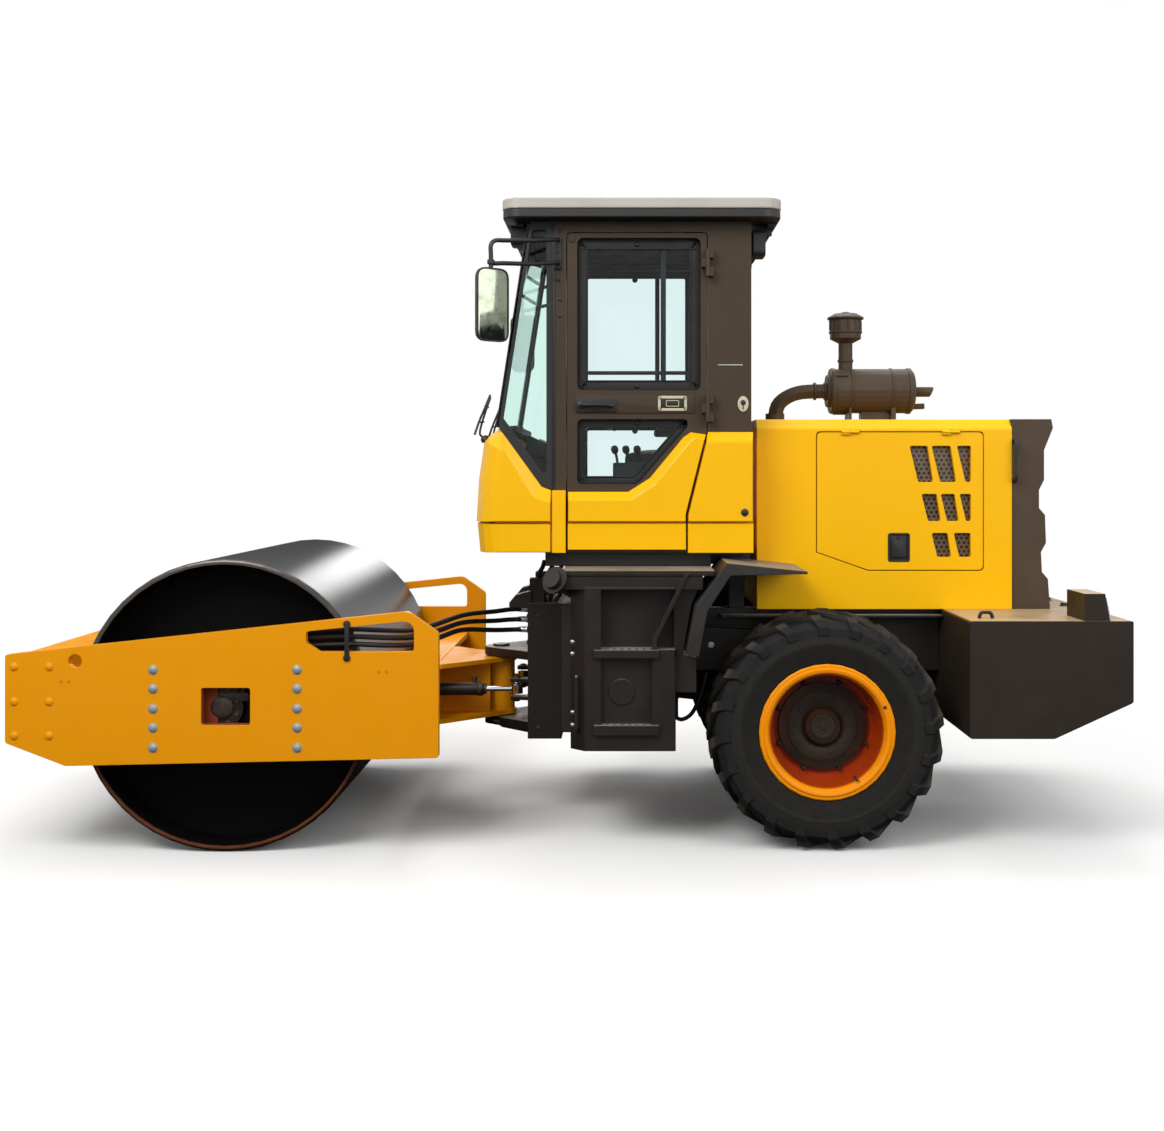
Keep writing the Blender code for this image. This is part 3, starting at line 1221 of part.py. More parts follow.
def mirrors():
    """Mirror heads, turned outwards, on two-tube arms from the front pillars."""
    head_x, head_y, head_z = MIRROR_HEAD
    for name, side in both_sides():
        root = FRAME_OUTER + SEAT
        pieces = [block((-0.105, -0.065), across(side, root, root + 0.012), (2.850, 3.020))]
        for root_z, end_z in MIRROR_ARMS:
            route = [(-0.085, side * (root + 0.002), root_z), (-0.085, side * (root + 0.03), root_z),
                     (-0.300, side * 0.930, end_z), (head_x, side * head_y, end_z)]
            pieces.append(pipe(route, 0.011, 1, False))
        pieces.append(rod((head_x, side * head_y, MIRROR_ARMS[0][1] + 0.012),
                          (head_x, side * head_y, head_z - 0.130), 0.012, 12))
        case = flat(square(-0.090, -0.178, 0.090, 0.178, 0.050), "front", -0.040, 0.020)
        turn = Matrix.Rotation(side * math.radians(MIRROR_TURN), 4, "Z")
        case.data.transform(Matrix.Translation((head_x, side * head_y, head_z)) @ turn)
        part("mirror_" + name, joined([case, *pieces]), BLACK, 30)


def work_lamps():
    """Bars below the roof's front and rear edges, each with two round-cornered lamps."""
    top = ROOF_Z[0] - SEAT
    for name, bar_x, faces, heights in LAMP_ROWS:
        pieces = [block((bar_x - 0.020, bar_x + 0.020), (-0.640, 0.640), (top - 0.020, top))]
        for side in (-1, 1):
            middle = side * 0.560
            pieces.append(flat(square(middle - 0.075, heights[0], middle + 0.075, heights[1], 0.025),
                               "front", *faces))
            reach = tuple(sorted((bar_x, (faces[0] + faces[1]) / 2)))
            pieces.append(block((reach[0] - 0.008, reach[1] + 0.008), (middle - 0.020, middle + 0.020),
                                (heights[1] - 0.020, top - 0.005)))
        part(name, joined(pieces), BLACK)


# Hood

HOOD_DOOR_X = (1.248, 2.107)
HOOD_DOOR_Z = (1.323, 2.035)
VENT_ROWS = (
    # lower Z, upper Z, then the X ranges of the slots at the upper edge
    (1.778, 1.965, ((1.727, 1.820), (1.841, 1.939), (1.972, 2.045))),
    (1.576, 1.716, ((1.789, 1.867), (1.888, 1.960), (1.986, 2.045))),
    (1.390, 1.514, ((1.841, 1.924), (1.955, 2.043))),
)
VENT_LEAN = 0.16
HOOD_HINGE_X = (1.420, 1.940)
HOOD_KNUCKLE_RADIUS = 0.008


def hood_door_outline(gap):
    """Return the outline of the side door, or of its opening when the gap is positive."""
    x_low, x_high = HOOD_DOOR_X
    z_low, z_high = HOOD_DOOR_Z
    return corners(((x_low - gap, 1.416 - gap * 0.5, 0), (x_low + 0.264, z_low - gap, 0.010),
                    (x_high + gap, z_low - gap, 0.020), (x_high + gap, z_high + gap, 0.020),
                    (x_low - gap, z_high + gap, 0.020)))


def vent_slots():
    """Return the outlines of the slanted vents in a side door."""
    slots = []
    for low, high, ranges in VENT_ROWS:
        lean = (high - low) * VENT_LEAN
        for start, end in ranges:
            far_end = min(end + lean, 2.045)
            slots.append(corners(((start + lean * 1.5, low, 0.008), (far_end, low, 0.008),
                                  (end, high, 0.008), (start, high, 0.008))))
    return slots


def hood_hinge(side, x, direction):
    """Return a knuckle above a side door and its leaf, towards the hood (1) or the door (-1)."""
    half = KNUCKLE_LENGTH / 2
    axis_y = HOOD_HALF + HOOD_KNUCKLE_RADIUS
    axis_z = HOOD_DOOR_Z[1] + RUN / 2
    knuckle = rod((x - half, side * axis_y, axis_z), (x + half, side * axis_y, axis_z),
                  HOOD_KNUCKLE_RADIUS, 10)
    z_range = tuple(sorted((axis_z + direction * 0.004, axis_z + direction * 0.015)))
    leaf = block((x - half, x + half), across(side, HOOD_HALF - 0.006, axis_y + 0.003), z_range)
    return [knuckle, leaf]


def hood_section(half, top, chamfer, bottom):
    """Return a cross-section of the hood with chamfered upper edges."""
    return corners(((-half, bottom, 0), (half, bottom, 0), (half, top - chamfer, 0.012),
                    (half - chamfer, top, 0.012), (-half + chamfer, top, 0.012),
                    (-half, top - chamfer, 0.012)))


def hood():
    """Engine hood with two top-hinged side doors and the dark grille block behind it."""
    x_low, x_high = HOOD_X
    foot = FRAME_TOP + SEAT
    shell = flat(hood_section(HOOD_HALF, HOOD_TOP, HOOD_CHAMFER, foot), "front", x_low, x_high)
    room = flat(hood_section(HOOD_HALF - HOOD_WALL, HOOD_TOP - HOOD_WALL, HOOD_CHAMFER, foot - 0.1),
                "front", x_low + HOOD_WALL, x_high + 0.1)
    opening = flat(hood_door_outline(RUN), "side", -1, 1)
    leaves = []
    for _, side in both_sides():
        for x in HOOD_HINGE_X:
            leaves.extend(hood_hinge(side, x + KNUCKLE_LENGTH / 2 + SEAT / 2, 1))
    part("hood", joined([baked(carved(shell, [room, opening])), *leaves]), YELLOW)
    for name, side in both_sides():
        low, high = across(side, HOOD_HALF - HOOD_DOOR_WALL, HOOD_HALF)
        slots = vent_slots()
        latch = square(1.615, 1.364, 1.729, 1.514, 0.012)
        door = flat(hood_door_outline(0), "side", low, high, slots)
        recess = flat(latch, "side", *across(side, HOOD_HALF - 0.012, HOOD_HALF + 0.1))
        leaves = []
        for x in HOOD_HINGE_X:
            leaves.extend(hood_hinge(side, x - KNUCKLE_LENGTH / 2 - SEAT / 2, -1))
        part("hood_door_" + name, joined([baked(carved(door, [recess])), *leaves]), YELLOW)

    front = x_high + SEAT
    rear = [Corner(GRILLE_END_X - depth, z, 0) for depth, z in GRILLE_WAVE]
    wave = [Corner(front, foot, 0), *rear, Corner(front, HOOD_TOP, 0)]
    half = HOOD_HALF - 0.012
    core = flat(wave, "side", -half, half)
    slot = corners(((-half + 0.07, foot + 0.08, 0.02), (half - 0.07, foot + 0.08, 0.02),
                    (half - 0.07, 2.02, 0.02), (-half + 0.07, 2.02, 0.02)))
    part("grille", carved(core, [flat(slot, "front", 2.340, 2.6)]), DARK)


def air_cleaner():
    """Air cleaner on the hood with its elbow, stem and pre-cleaner bowl."""
    x_low, x_high = AIR_X
    radius = AIR_RADIUS
    length = x_high - x_low
    body = turned([(0, length), (radius - 0.016, length), (radius, length - 0.016), (radius, 0),
                   (radius * 0.72, 0), (radius * 0.72, -0.018), (0, -0.018)],
                  (x_low, AIR_Y, AIR_Z), (1, 0, 0), 24)
    top = HOOD_TOP + SEAT
    foot_x = x_low - 0.294
    elbow = pipe([(x_low + 0.060, AIR_Y, AIR_Z), (x_low - 0.090, AIR_Y, AIR_Z - 0.002),
                  (x_low - 0.170, AIR_Y, AIR_Z - 0.010), (x_low - 0.235, AIR_Y, AIR_Z - 0.036),
                  (foot_x + 0.014, AIR_Y, AIR_Z - 0.080), (foot_x, AIR_Y, top + 0.010)], 0.043, 1)
    collar = rod((foot_x, AIR_Y, top), (foot_x, AIR_Y, top + 0.040), 0.051, 20)
    crown = AIR_Z + PRE_CLEANER_HEIGHT
    stem = turned([(0, 0), (0.062, -0.005), (0.098, -0.026), (0.098, -0.034), (0.084, -0.040),
                   (0.084, -0.096), (0.090, -0.099), (0.090, -0.109), (0.084, -0.112), (0.084, -0.140),
                   (0.038, -0.164), (0.038, -0.420), (0, -0.420)], (AIR_STEM_X, AIR_Y, crown), (0, 0, 1), 18)
    pieces = [body, elbow, collar, stem]
    for start, end, half in AIR_FEET:
        pieces.append(block((start, end), (AIR_Y - half, AIR_Y + half), (top, AIR_Z - radius * 0.75)))
    tail = rod((x_high - 0.030, AIR_Y, AIR_Z - 0.004), (x_high + 0.109, AIR_Y, AIR_Z - 0.004), 0.027, 16)
    slant = corners(((x_high + 0.078, AIR_Z - 0.060, 0), (x_high + 0.200, AIR_Z - 0.060, 0),
                     (x_high + 0.200, AIR_Z + 0.060, 0), (x_high + 0.131, AIR_Z + 0.060, 0)))
    pieces.append(baked(carved(tail, [flat(slant, "side", AIR_Y - 0.05, AIR_Y + 0.05)])))
    pieces.append(rod((x_high - 0.040, AIR_Y - 0.02, AIR_Z - 0.086),
                      (x_high + 0.058, AIR_Y - 0.02, AIR_Z - 0.082), 0.016, 10))
    part("air_cleaner", joined(pieces), DARK, 30)


def main():
    """Build every piece of the machine."""
    front_plates()
    front_beams()
    scraper()
    drum_mounts()
    drum()
    steering_cylinders()
    frame_head()
    frame_rails()
    rear_axle()
    drive_line()
    engine()
    counterweight()
    wheels()
    step_boxes()
    fenders()
    cab_sides()
    doors()
    cab_tub()
    cab_cowl()
    cab_front()
    cab_skirt()
    roof()
    cab_inside()
    mirrors()
    work_lamps()
    hood()
    air_cleaner()


main()
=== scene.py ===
"""Looks of an articulated single-drum road roller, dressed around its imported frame.

World frame, in metres: +X points to the rear of the machine, -X to the drum, -Y is the machine's left
side, which faces the camera, and +Z is up. The origin is on the ground below the machine's middle.
"""
from __future__ import annotations

import logging
from dataclasses import dataclass, field
from enum import Enum
from math import copysign, cos, exp, radians, sin, tau
from typing import Any, Iterable, Sequence

import bmesh
import bpy
from mathutils import Matrix, Vector

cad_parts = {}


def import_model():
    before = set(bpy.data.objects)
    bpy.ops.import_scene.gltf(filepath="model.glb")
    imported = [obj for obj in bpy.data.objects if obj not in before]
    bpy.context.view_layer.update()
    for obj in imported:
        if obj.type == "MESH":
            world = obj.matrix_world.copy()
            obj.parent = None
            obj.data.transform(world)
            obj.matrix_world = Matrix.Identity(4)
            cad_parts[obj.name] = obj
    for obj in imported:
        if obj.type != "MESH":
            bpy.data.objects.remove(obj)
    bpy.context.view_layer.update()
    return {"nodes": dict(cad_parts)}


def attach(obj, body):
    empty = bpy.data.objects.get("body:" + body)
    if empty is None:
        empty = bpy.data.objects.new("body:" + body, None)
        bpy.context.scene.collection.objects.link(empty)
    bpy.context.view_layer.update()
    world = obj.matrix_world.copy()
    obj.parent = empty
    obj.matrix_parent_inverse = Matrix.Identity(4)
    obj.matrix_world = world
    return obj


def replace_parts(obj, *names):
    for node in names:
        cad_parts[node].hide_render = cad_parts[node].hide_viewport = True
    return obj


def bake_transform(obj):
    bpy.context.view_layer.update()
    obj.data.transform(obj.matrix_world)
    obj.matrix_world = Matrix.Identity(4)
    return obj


LOG = logging.getLogger("road_roller")
# Bend in radians above which an edge is softened
CREASE = 0.6
# Largest share of an edge that the rounding of one corner takes
ROUNDING_SHARE = 0.45
Point = Sequence[float]
Pair = tuple[float, float]
Box = tuple[float, float, float, float]
Tree = bpy.types.NodeTree
Socket = bpy.types.NodeSocket


class Body(str, Enum):
    """The moving bodies that a piece can ride on."""

    REAR = "root"
    FRONT = "front_frame"
    DRUM = "drum"
    WHEEL_LEFT = "wheel_left"
    WHEEL_RIGHT = "wheel_right"
    BARREL_LEFT = "steer_barrel_left"
    BARREL_RIGHT = "steer_barrel_right"
    CAB_DOOR_LEFT = "cab_door_left"
    CAB_DOOR_RIGHT = "cab_door_right"
    HOOD_DOOR_LEFT = "hood_door_left"
    HOOD_DOOR_RIGHT = "hood_door_right"


class Side(Enum):
    """The machine's two sides: the name in its nodes and the sign of Y."""

    LEFT = ("left", -1)
    RIGHT = ("right", 1)

    @property
    def word(self) -> str:
        """Return the side's name."""
        return self.value[0]

    @property
    def sign(self) -> int:
        """Return the sign of Y on this side."""
        return self.value[1]


# Colours and shader nodes


def linear(hex_colour: str) -> tuple[float, ...]:
    """Turn an sRGB hex colour to linear light.

    Args:
        hex_colour: A colour such as "#EB9B00".

    Returns:
        Red, green, blue and alpha in linear light.
    """
    parts = [int(hex_colour[place:place + 2], 16) / 255 for place in (1, 3, 5)]
    red, green, blue = (((part + 0.055) / 1.055) ** 2.4 if part > 0.04045 else part / 12.92 for part in parts)
    return red, green, blue, 1.0


def feed(tree: Tree, node: bpy.types.Node, inputs: dict[Any, Any]) -> None:
    """Give inputs of a node, by name or number, a value or the socket that feeds them."""
    for socket, value in inputs.items():
        if isinstance(value, bpy.types.NodeSocket):
            tree.links.new(value, node.inputs[socket])
        else:
            node.inputs[socket].default_value = value


def add_node(tree: Tree, kind: str, inputs: dict[Any, Any] | None = None, **settings: Any) -> bpy.types.Node:
    """Add a shader node with its settings and links.

    Args:
        tree: The node tree to add it to.
        kind: The end of the node's type, such as "TexNoise".
        inputs: For each input by name or number, a value or the socket that feeds it.
        settings: Attributes of the node itself.

    Returns:
        The new node.
    """
    made = tree.nodes.new("ShaderNode" + kind)
    for name, value in settings.items():
        setattr(made, name, value)
    feed(tree, made, inputs or {})
    return made


def mix(tree: Tree, share: Socket, first: Socket | str, second: Socket | str) -> Socket:
    """Mix two colours, each a socket or an sRGB hex colour, by the share of the second."""
    clean, other = (linear(colour) if isinstance(colour, str) else colour for colour in (first, second))
    return add_node(tree, "Mix", {"Factor": share, "A": clean, "B": other},
                    data_type="RGBA").outputs["Result"]


def noise(tree: Tree, place: Socket, scale: float, detail: float, roughness: float = 0.5) -> Socket:
    """Return even noise, from 0 to 1, with so many features a metre."""
    return add_node(tree, "TexNoise", {"Vector": place, "Scale": scale, "Detail": detail,
                                                 "Roughness": roughness}).outputs["Fac"]


def stretch(tree: Tree, value: Socket, low: float, high: float, to_low: float = 0.0,
            to_high: float = 1.0) -> Socket:
    """Map the range from low to high to that from to_low to to_high, and clamp what lies outside."""
    return add_node(tree, "MapRange", {"Value": value, "From Min": low, "From Max": high,
                                                 "To Min": to_low, "To Max": to_high}).outputs[0]


def combine(tree: Tree, operation: str, *values: Socket | float) -> Socket:
    """Return what a step of arithmetic on numbers gives."""
    return add_node(tree, "Math", dict(enumerate(values)), operation=operation).outputs[0]


def move(tree: Tree, operation: str, *vectors: Socket | Point) -> Socket:
    """Return the vector that a step of arithmetic on vectors gives."""
    return add_node(tree, "VectorMath", dict(enumerate(vectors)), operation=operation).outputs[0]


def part_of(tree: Tree, vector: Socket, axis: str) -> Socket:
    """Return one number of a vector."""
    return add_node(tree, "SeparateXYZ", {"Vector": vector}).outputs[axis]


def reach_from(tree: Tree, place: Socket, centre: Pair) -> Socket:
    """Return the distance from an axis along Y through X and Z of the centre."""
    arm = move(tree, "SUBTRACT", place, (centre[0], 0.0, centre[1]))
    flat = move(tree, "MULTIPLY", arm, (1.0, 0.0, 1.0))
    return add_node(tree, "VectorMath", {0: flat}, operation="LENGTH").outputs["Value"]


def new_material(name: str) -> tuple[bpy.types.Material, Tree, bpy.types.Node]:
    """Make a material and return it with its tree and its shader."""
    made = bpy.data.materials.new(name)
    made.use_nodes = True
    return made, made.node_tree, made.node_tree.nodes["Principled BSDF"]


@dataclass(frozen=True)
class Finish:
    """One surface finish: its colour, gloss and the texture that its making leaves.

    Attributes:
        name: The material's name.
        colour: sRGB hex of the clean surface.
        roughness: Middle roughness.
        metallic: 1 for bare metal.
        second: sRGB hex of the dust, rust or wear that breaks the colour up.
        amount: How much of the second colour shows, from 0 to 1.
        patch_mm: Size of the patches of tone and dust.
        grain_mm: Size of the fine texture. What is too fine to show is drawn as coarse as it needs to.
        bump: Height of the fine texture in millimetres.
        edge_mm: Radius of the rounded edge that catches the light.
        coat: Weight of a clear coat.
        dust_height: Height in metres below which road dust gathers.
        specular: Specular level of the paint or plastic. 0.5 is that of a plain gloss.
        top_dust_and_sheen: How much level tops turn to the top colour, from 0 to 1: dust on the counterweight, a
            painted highlight on the dark enamel's ledges and a painted reflection of the sky on the fenders.
        top_colour: sRGB hex of that dust and painted light.
    """

    name: str
    colour: str
    roughness: float
    metallic: float = 0.0
    second: str = "#8A7B68"
    amount: float = 0.15
    patch_mm: float = 300.0
    grain_mm: float = 4.0
    bump: float = 0.1
    edge_mm: float = 3.0
    coat: float = 0.0
    dust_height: float = 0.9
    specular: float = 0.5
    top_dust_and_sheen: float = 0.0
    top_colour: str = "#B9B0A2"

    def place(self, tree: Tree) -> Socket:
        """Return the object's own coordinates, which stay with the piece when it moves."""
        return add_node(tree, "TexCoord").outputs["Object"]

    def tone(self, tree: Tree, place: Socket) -> Socket:
        """Mix the clean colour with its dust or wear, and turn level tops pale: dust on some finishes, painted
        light on others.

        Args:
            tree: The node tree to build in.
            place: Object coordinates.

        Returns:
            The base colour's socket.
        """
        patches = noise(tree, place, 1000 / self.patch_mm, 6.0, 0.65)
        low = stretch(tree, part_of(tree, place, "Z"), self.dust_height, 0.0, 0.35, 1.3)
        share = stretch(tree, patches, 0.42, 0.72, 0.0, self.amount)
        dusty = add_node(tree, "Math", {0: share, 1: low}, operation="MULTIPLY", use_clamp=True)
        tone = mix(tree, dusty.outputs[0], self.colour, self.second)
        if not self.top_dust_and_sheen:
            return tone
        # Level tops turn pale: dust on the counterweight, but painted light on the dark enamel's ledges (a
        # highlight) and on the fenders (the sky's reflection)
        facing = add_node(tree, "TexCoord").outputs["Normal"]
        level = stretch(tree, part_of(tree, facing, "Z"), 0.90, 0.985, 0.0, self.top_dust_and_sheen)
        patchy_tops = stretch(tree, patches, 0.30, 0.55, 0.6)
        return mix(tree, combine(tree, "MULTIPLY", level, patchy_tops), tone, self.top_colour)

    def relief(self, tree: Tree, place: Socket) -> Socket:
        """Return the normal with the fine texture and the rounded edges."""
        grain = noise(tree, place, 1000 / self.grain_mm, 2.0)
        edge = add_node(tree, "Bevel", {"Radius": self.edge_mm / 1000}, samples=4)
        bumped = add_node(tree, "Bump", {"Height": grain, "Distance": self.bump / 1000, "Strength": 0.6,
                                                   "Normal": edge.outputs["Normal"]})
        return bumped.outputs["Normal"]

    def gloss(self, tree: Tree, place: Socket) -> Socket:
        """Return the roughness, uneven by a tenth or so as on a handled surface."""
        smear = noise(tree, place, 2500 / self.patch_mm, 4.0)
        return stretch(tree, smear, 0.3, 0.7, max(self.roughness - 0.07, 0.02), min(self.roughness + 0.1, 1.0))

    def wire(self, tree: Tree, shader: bpy.types.Node) -> None:
        """Set the shader's values and feed its sockets."""
        place = self.place(tree)
        feed(tree, shader, {"Base Color": self.tone(tree, place), "Roughness": self.gloss(tree, place),
                            "Normal": self.relief(tree, place), "Metallic": self.metallic,
                            "Coat Weight": self.coat, "Coat Roughness": 0.15,
                            "Specular IOR Level": self.specular})

    def build(self) -> bpy.types.Material:
        """Make the material, or return it if it is there already."""
        found = bpy.data.materials.get(self.name)
        if found:
            return found
        made, tree, shader = new_material(self.name)
        self.wire(tree, shader)
        return made


@dataclass(frozen=True)
class Glass(Finish):
    """Flat tinted safety glass: float glass, so even and glossy, with a green cast.

    Attributes:
        ior: Index of refraction. 1.52 for soda-lime glass, less here so that its reflection of the white
            studio doesn't veil the cab's dark inside.
    """

    ior: float = 1.25

    def wire(self, tree: Tree, shader: bpy.types.Node) -> None:
        """Set the shader to a tint that lets the light through, with a faint film of dust."""
        film = noise(tree, self.place(tree), 2.0, 3.0)
        feed(tree, shader, {"Base Color": mix(tree, film, self.colour, self.second), "IOR": self.ior,
                            "Roughness": self.roughness, "Transmission Weight": 1.0})


@dataclass(frozen=True)
class DrumFinish(Finish):
    """The drum: shell of rolled steel worn bright by the ground, rusty rims, and a near-black inside that is
    painted shade of its hollow end.

    Attributes:
        centre: X and Z of the drum's axis.
        shell_radius: Radius outside which the bare shell shows.
        rim_from: Distance from the middle beyond which the rim shows.
    """

    centre: Pair = (-1.676, 0.705)
    shell_radius: float = 0.692
    rim_from: float = 0.985

    def tone(self, tree: Tree, place: Socket) -> Socket:
        """Colour the shell, the rims and the inside by their place about the axis."""
        rust_noise = noise(tree, place, 25.0, 6.0)
        worn = stretch(tree, part_of(tree, place, "Z"), 0.25, 0.80)
        rust = mix(tree, worn, mix(tree, rust_noise, "#4A2C1C", "#7E4A30"), "#4C4744")
        along = add_node(tree, "Mapping", {"Vector": place, "Scale": (1.0, 18.0, 1.0)}).outputs["Vector"]
        steel = mix(tree, noise(tree, along, 2.2, 8.0, 0.7), "#444546", "#606162")
        # Near-black inside the shell is painted shade of the drum's hollow end
        inside = mix(tree, rust_noise, "#060505", "#0D0B0A")
        far = combine(tree, "ABSOLUTE", part_of(tree, place, "Y"))
        on_rim = combine(tree, "GREATER_THAN", far, self.rim_from)
        return mix(tree, on_rim, mix(tree, self.on_shell(tree, place), inside, steel), rust)

    def on_shell(self, tree: Tree, place: Socket) -> Socket:
        """Return 1 where a point lies on the outer shell and 0 inside it."""
        return combine(tree, "GREATER_THAN", reach_from(tree, place, self.centre), self.shell_radius)

    def wire(self, tree: Tree, shader: bpy.types.Node) -> None:
        """Set the shader with metal on the shell only."""
        super().wire(tree, shader)
        shell = self.on_shell(tree, self.place(tree))
        feed(tree, shader, {"Metallic": shell, "Roughness": stretch(tree, shell, 0.0, 1.0, 0.6, self.roughness)})


@dataclass(frozen=True)
class WheelFinish(Finish):
    """A finish in rings about the wheel's axle, such as dust on the lugs, a painted highlight on a tyre's sidewall,
    painted shade in a rim's bowl and a dark hub.

    Attributes:
        centre: X and Z of the axle.
        rings: Rows of outer radius in metres and sRGB hex, from the middle outwards.
        blur: Width of the change from one ring to the next.
    """

    centre: Pair = (1.229, 0.575)
    rings: tuple[tuple[float, str], ...] = ()
    blur: float = 0.004

    def tone(self, tree: Tree, place: Socket) -> Socket:
        """Colour the rings, then add the dust."""
        reach = reach_from(tree, place, self.centre)
        colour: Socket | str = self.rings[0][1]
        for (radius, _), (_, outside) in zip(self.rings, self.rings[1:]):
            colour = mix(tree, stretch(tree, reach, radius - self.blur, radius + self.blur), colour, outside)
        patches = noise(tree, place, 1000 / self.patch_mm, 6.0, 0.7)
        return mix(tree, stretch(tree, patches, 0.4, 0.75, 0.0, self.amount), colour, self.second)


@dataclass(frozen=True)
class MeshFinish(Finish):
    """Perforated sheet: staggered round holes punched in painted steel, drawn in colour only, near-black as painted
    shade of the dark space behind.

    Attributes:
        pitch_mm: Distance between two holes.
        hole: Share of the pitch that a hole's diameter takes.
        row: Distance between two rows of the same stagger, in pitches.
    """

    pitch_mm: float = 26.0
    hole: float = 0.66
    row: float = 1.732

    def tone(self, tree: Tree, place: Socket) -> Socket:
        """Colour the sheet with near-black holes in it, as painted shade."""
        plain = super().tone(tree, place)
        pitch = self.pitch_mm / 1000
        grids = []
        for shift in (0.0, 0.5):
            moved = move(tree, "ADD", place, (shift * pitch, 0.0, shift * pitch * self.row))
            scaled = move(tree, "MULTIPLY", moved, (1 / pitch, 0.0, 1 / (pitch * self.row)))
            centred = move(tree, "SUBTRACT", move(tree, "FRACTION", scaled), (0.5, 0.0, 0.5))
            flat = move(tree, "MULTIPLY", centred, (1.0, 0.0, self.row))
            reach = add_node(tree, "VectorMath", {0: flat}, operation="LENGTH").outputs["Value"]
            grids.append(stretch(tree, reach, self.hole / 2 + 0.04, self.hole / 2 - 0.04))
        # The holes are painted shade: near-black where the dark space behind the sheet would show
        return mix(tree, combine(tree, "MAXIMUM", *grids), plain, "#070605")


# Enamel sprayed on steel plate: even and glossy, with a faint orange peel and edges that catch the light
ORANGE_ENAMEL = Finish("enamel_orange_sprayed", "#F09C00", 0.36, second="#B87A1C", amount=0.10, coat=0.05,
                       bump=0.05, grain_mm=6.0, edge_mm=4.0, specular=0.22)
YELLOW_ENAMEL = Finish("enamel_yellow_sprayed", "#FEBF00", 0.30, second="#E09A00", amount=0.08, coat=0.06,
                       bump=0.04, grain_mm=6.0, edge_mm=6.0, specular=0.22)
BROWN_ENAMEL = Finish("enamel_brown_sprayed", "#44372A", 0.42, second="#5A4D3F", amount=0.25, coat=0.05,
                      bump=0.06, grain_mm=5.0, edge_mm=4.0, specular=0.22)
# Its level ledges and tops are drawn pale, as a painted highlight
DARK_ENAMEL = Finish("enamel_dark_painted_highlight_tops", "#1D1713", 0.45, second="#3E352C", amount=0.30, coat=0.05,
                     bump=0.08, grain_mm=5.0, edge_mm=7.0, specular=0.36, top_dust_and_sheen=0.60)
# Satin enamel on the folded fenders: the bright sky that their upper faces mirror is drawn on them in pale grey, as
# a painted reflection
FENDER_ENAMEL = Finish("enamel_dark_satin_painted_sky", "#2B2826", 0.40, second="#4A4640", amount=0.25, coat=0.08,
                       bump=0.06, grain_mm=5.0, edge_mm=8.0, specular=0.40, top_dust_and_sheen=0.60, top_colour="#9A968F")
# The air cleaner's enamel is browner and duller from dust and heat
AIR_ENAMEL = Finish("enamel_brown_sprayed_dull", "#493B2E", 0.5, second="#62543F", amount=0.35, bump=0.1,
                    grain_mm=5.0, edge_mm=4.0, dust_height=3.0, specular=0.25)
# Enamel on cast iron: the mould's grain of a few millimetres shows through
WEIGHT_ENAMEL = Finish("enamel_on_cast_iron", "#2A231D", 0.48, second="#4A3F35", amount=0.25, coat=0.05,
                       bump=0.5, grain_mm=9.0, edge_mm=6.0, specular=0.25, top_dust_and_sheen=0.8, top_colour="#D2B68C")
# Cast housings under paint: a sand-mould grain of a millimetre or two, drawn at 7 mm so that it shows
CAST_IRON = Finish("cast_iron_painted", "#2B2724", 0.6, second="#6A5B4C", amount=0.45, bump=0.8, grain_mm=7.0)
# Perforated steel sheet behind the vents: dull paint with holes of 17 mm, drawn near-black as painted shade
VENT_MESH = MeshFinish("perforated_steel_painted_shade_holes", "#6B543C", 0.5, second="#6A5540", amount=0.3, bump=0.1,
                       dust_height=3.0)
# Hard chrome, ground and polished: mirror-like with faint smears
CHROME = Finish("hard_chrome_ground", "#D5D7DA", 0.08, metallic=1.0, amount=0.0, bump=0.01, grain_mm=3.0)
# Zinc gone dull outdoors on the domed bolts: pale grey without a sharp glint
BOLT_ZINC = Finish("zinc_dulled_bolts", "#9AA1A3", 0.50, metallic=0.35, grain_mm=6.0, bump=0.05)
# Zinc-plated fittings: bright, slightly mottled metal
ZINC = Finish("zinc_plated_steel", "#C9CCCB", 0.32, metallic=1.0, second="#9A9A90", amount=0.35, patch_mm=20.0,
              bump=0.03, edge_mm=1.0, dust_height=3.0)
# Enamel on the wheel hubs under brake and road dust: brown and quite matt
HUB_ENAMEL = Finish("hub_enamel_dusty", "#2E2821", 0.6, second="#453C32", amount=0.35, patch_mm=30.0, bump=0.2,
                    grain_mm=4.0, edge_mm=2.0, specular=0.25)
# Stamped steel under worn paint: duller and darker than zinc, for nuts and hub covers
DARK_STEEL = Finish("steel_stamped_worn", "#3A332D", 0.5, metallic=0.4, second="#6A5A4A", amount=0.4,
                    patch_mm=25.0, bump=0.06, edge_mm=1.0, dust_height=3.0)
# Red-brown primer where the paint misses the cut edge of a plate; on the hub window's orange walls the same
# red-brown is painted shade
PRIMER_AND_PAINTED_SHADE = Finish("primer_and_painted_shade_red_brown", "#8C3408", 0.7, second="#4A2412", amount=0.5, patch_mm=40.0, bump=0.1)
# Injection-moulded black plastic: fine spark grain, low gloss
BLACK_PLASTIC = Finish("black_plastic_moulded", "#1B1B1C", 0.5, second="#4A4845", amount=0.15, bump=0.06,
                       grain_mm=2.0)
# Extruded rubber seal: matt, with dust in its lips
SEAL_RUBBER = Finish("seal_rubber_extruded", "#111110", 0.6, second="#33312E", amount=0.2, bump=0.05,
                     grain_mm=3.0, edge_mm=1.5)
# Hydraulic hose, cloth-wrapped when cured: matt black with a fine weave print
HOSE_RUBBER = Finish("hose_rubber_wrapped", "#121212", 0.5, second="#3C3A38", amount=0.3, bump=0.15,
                     grain_mm=3.0, edge_mm=0.5)
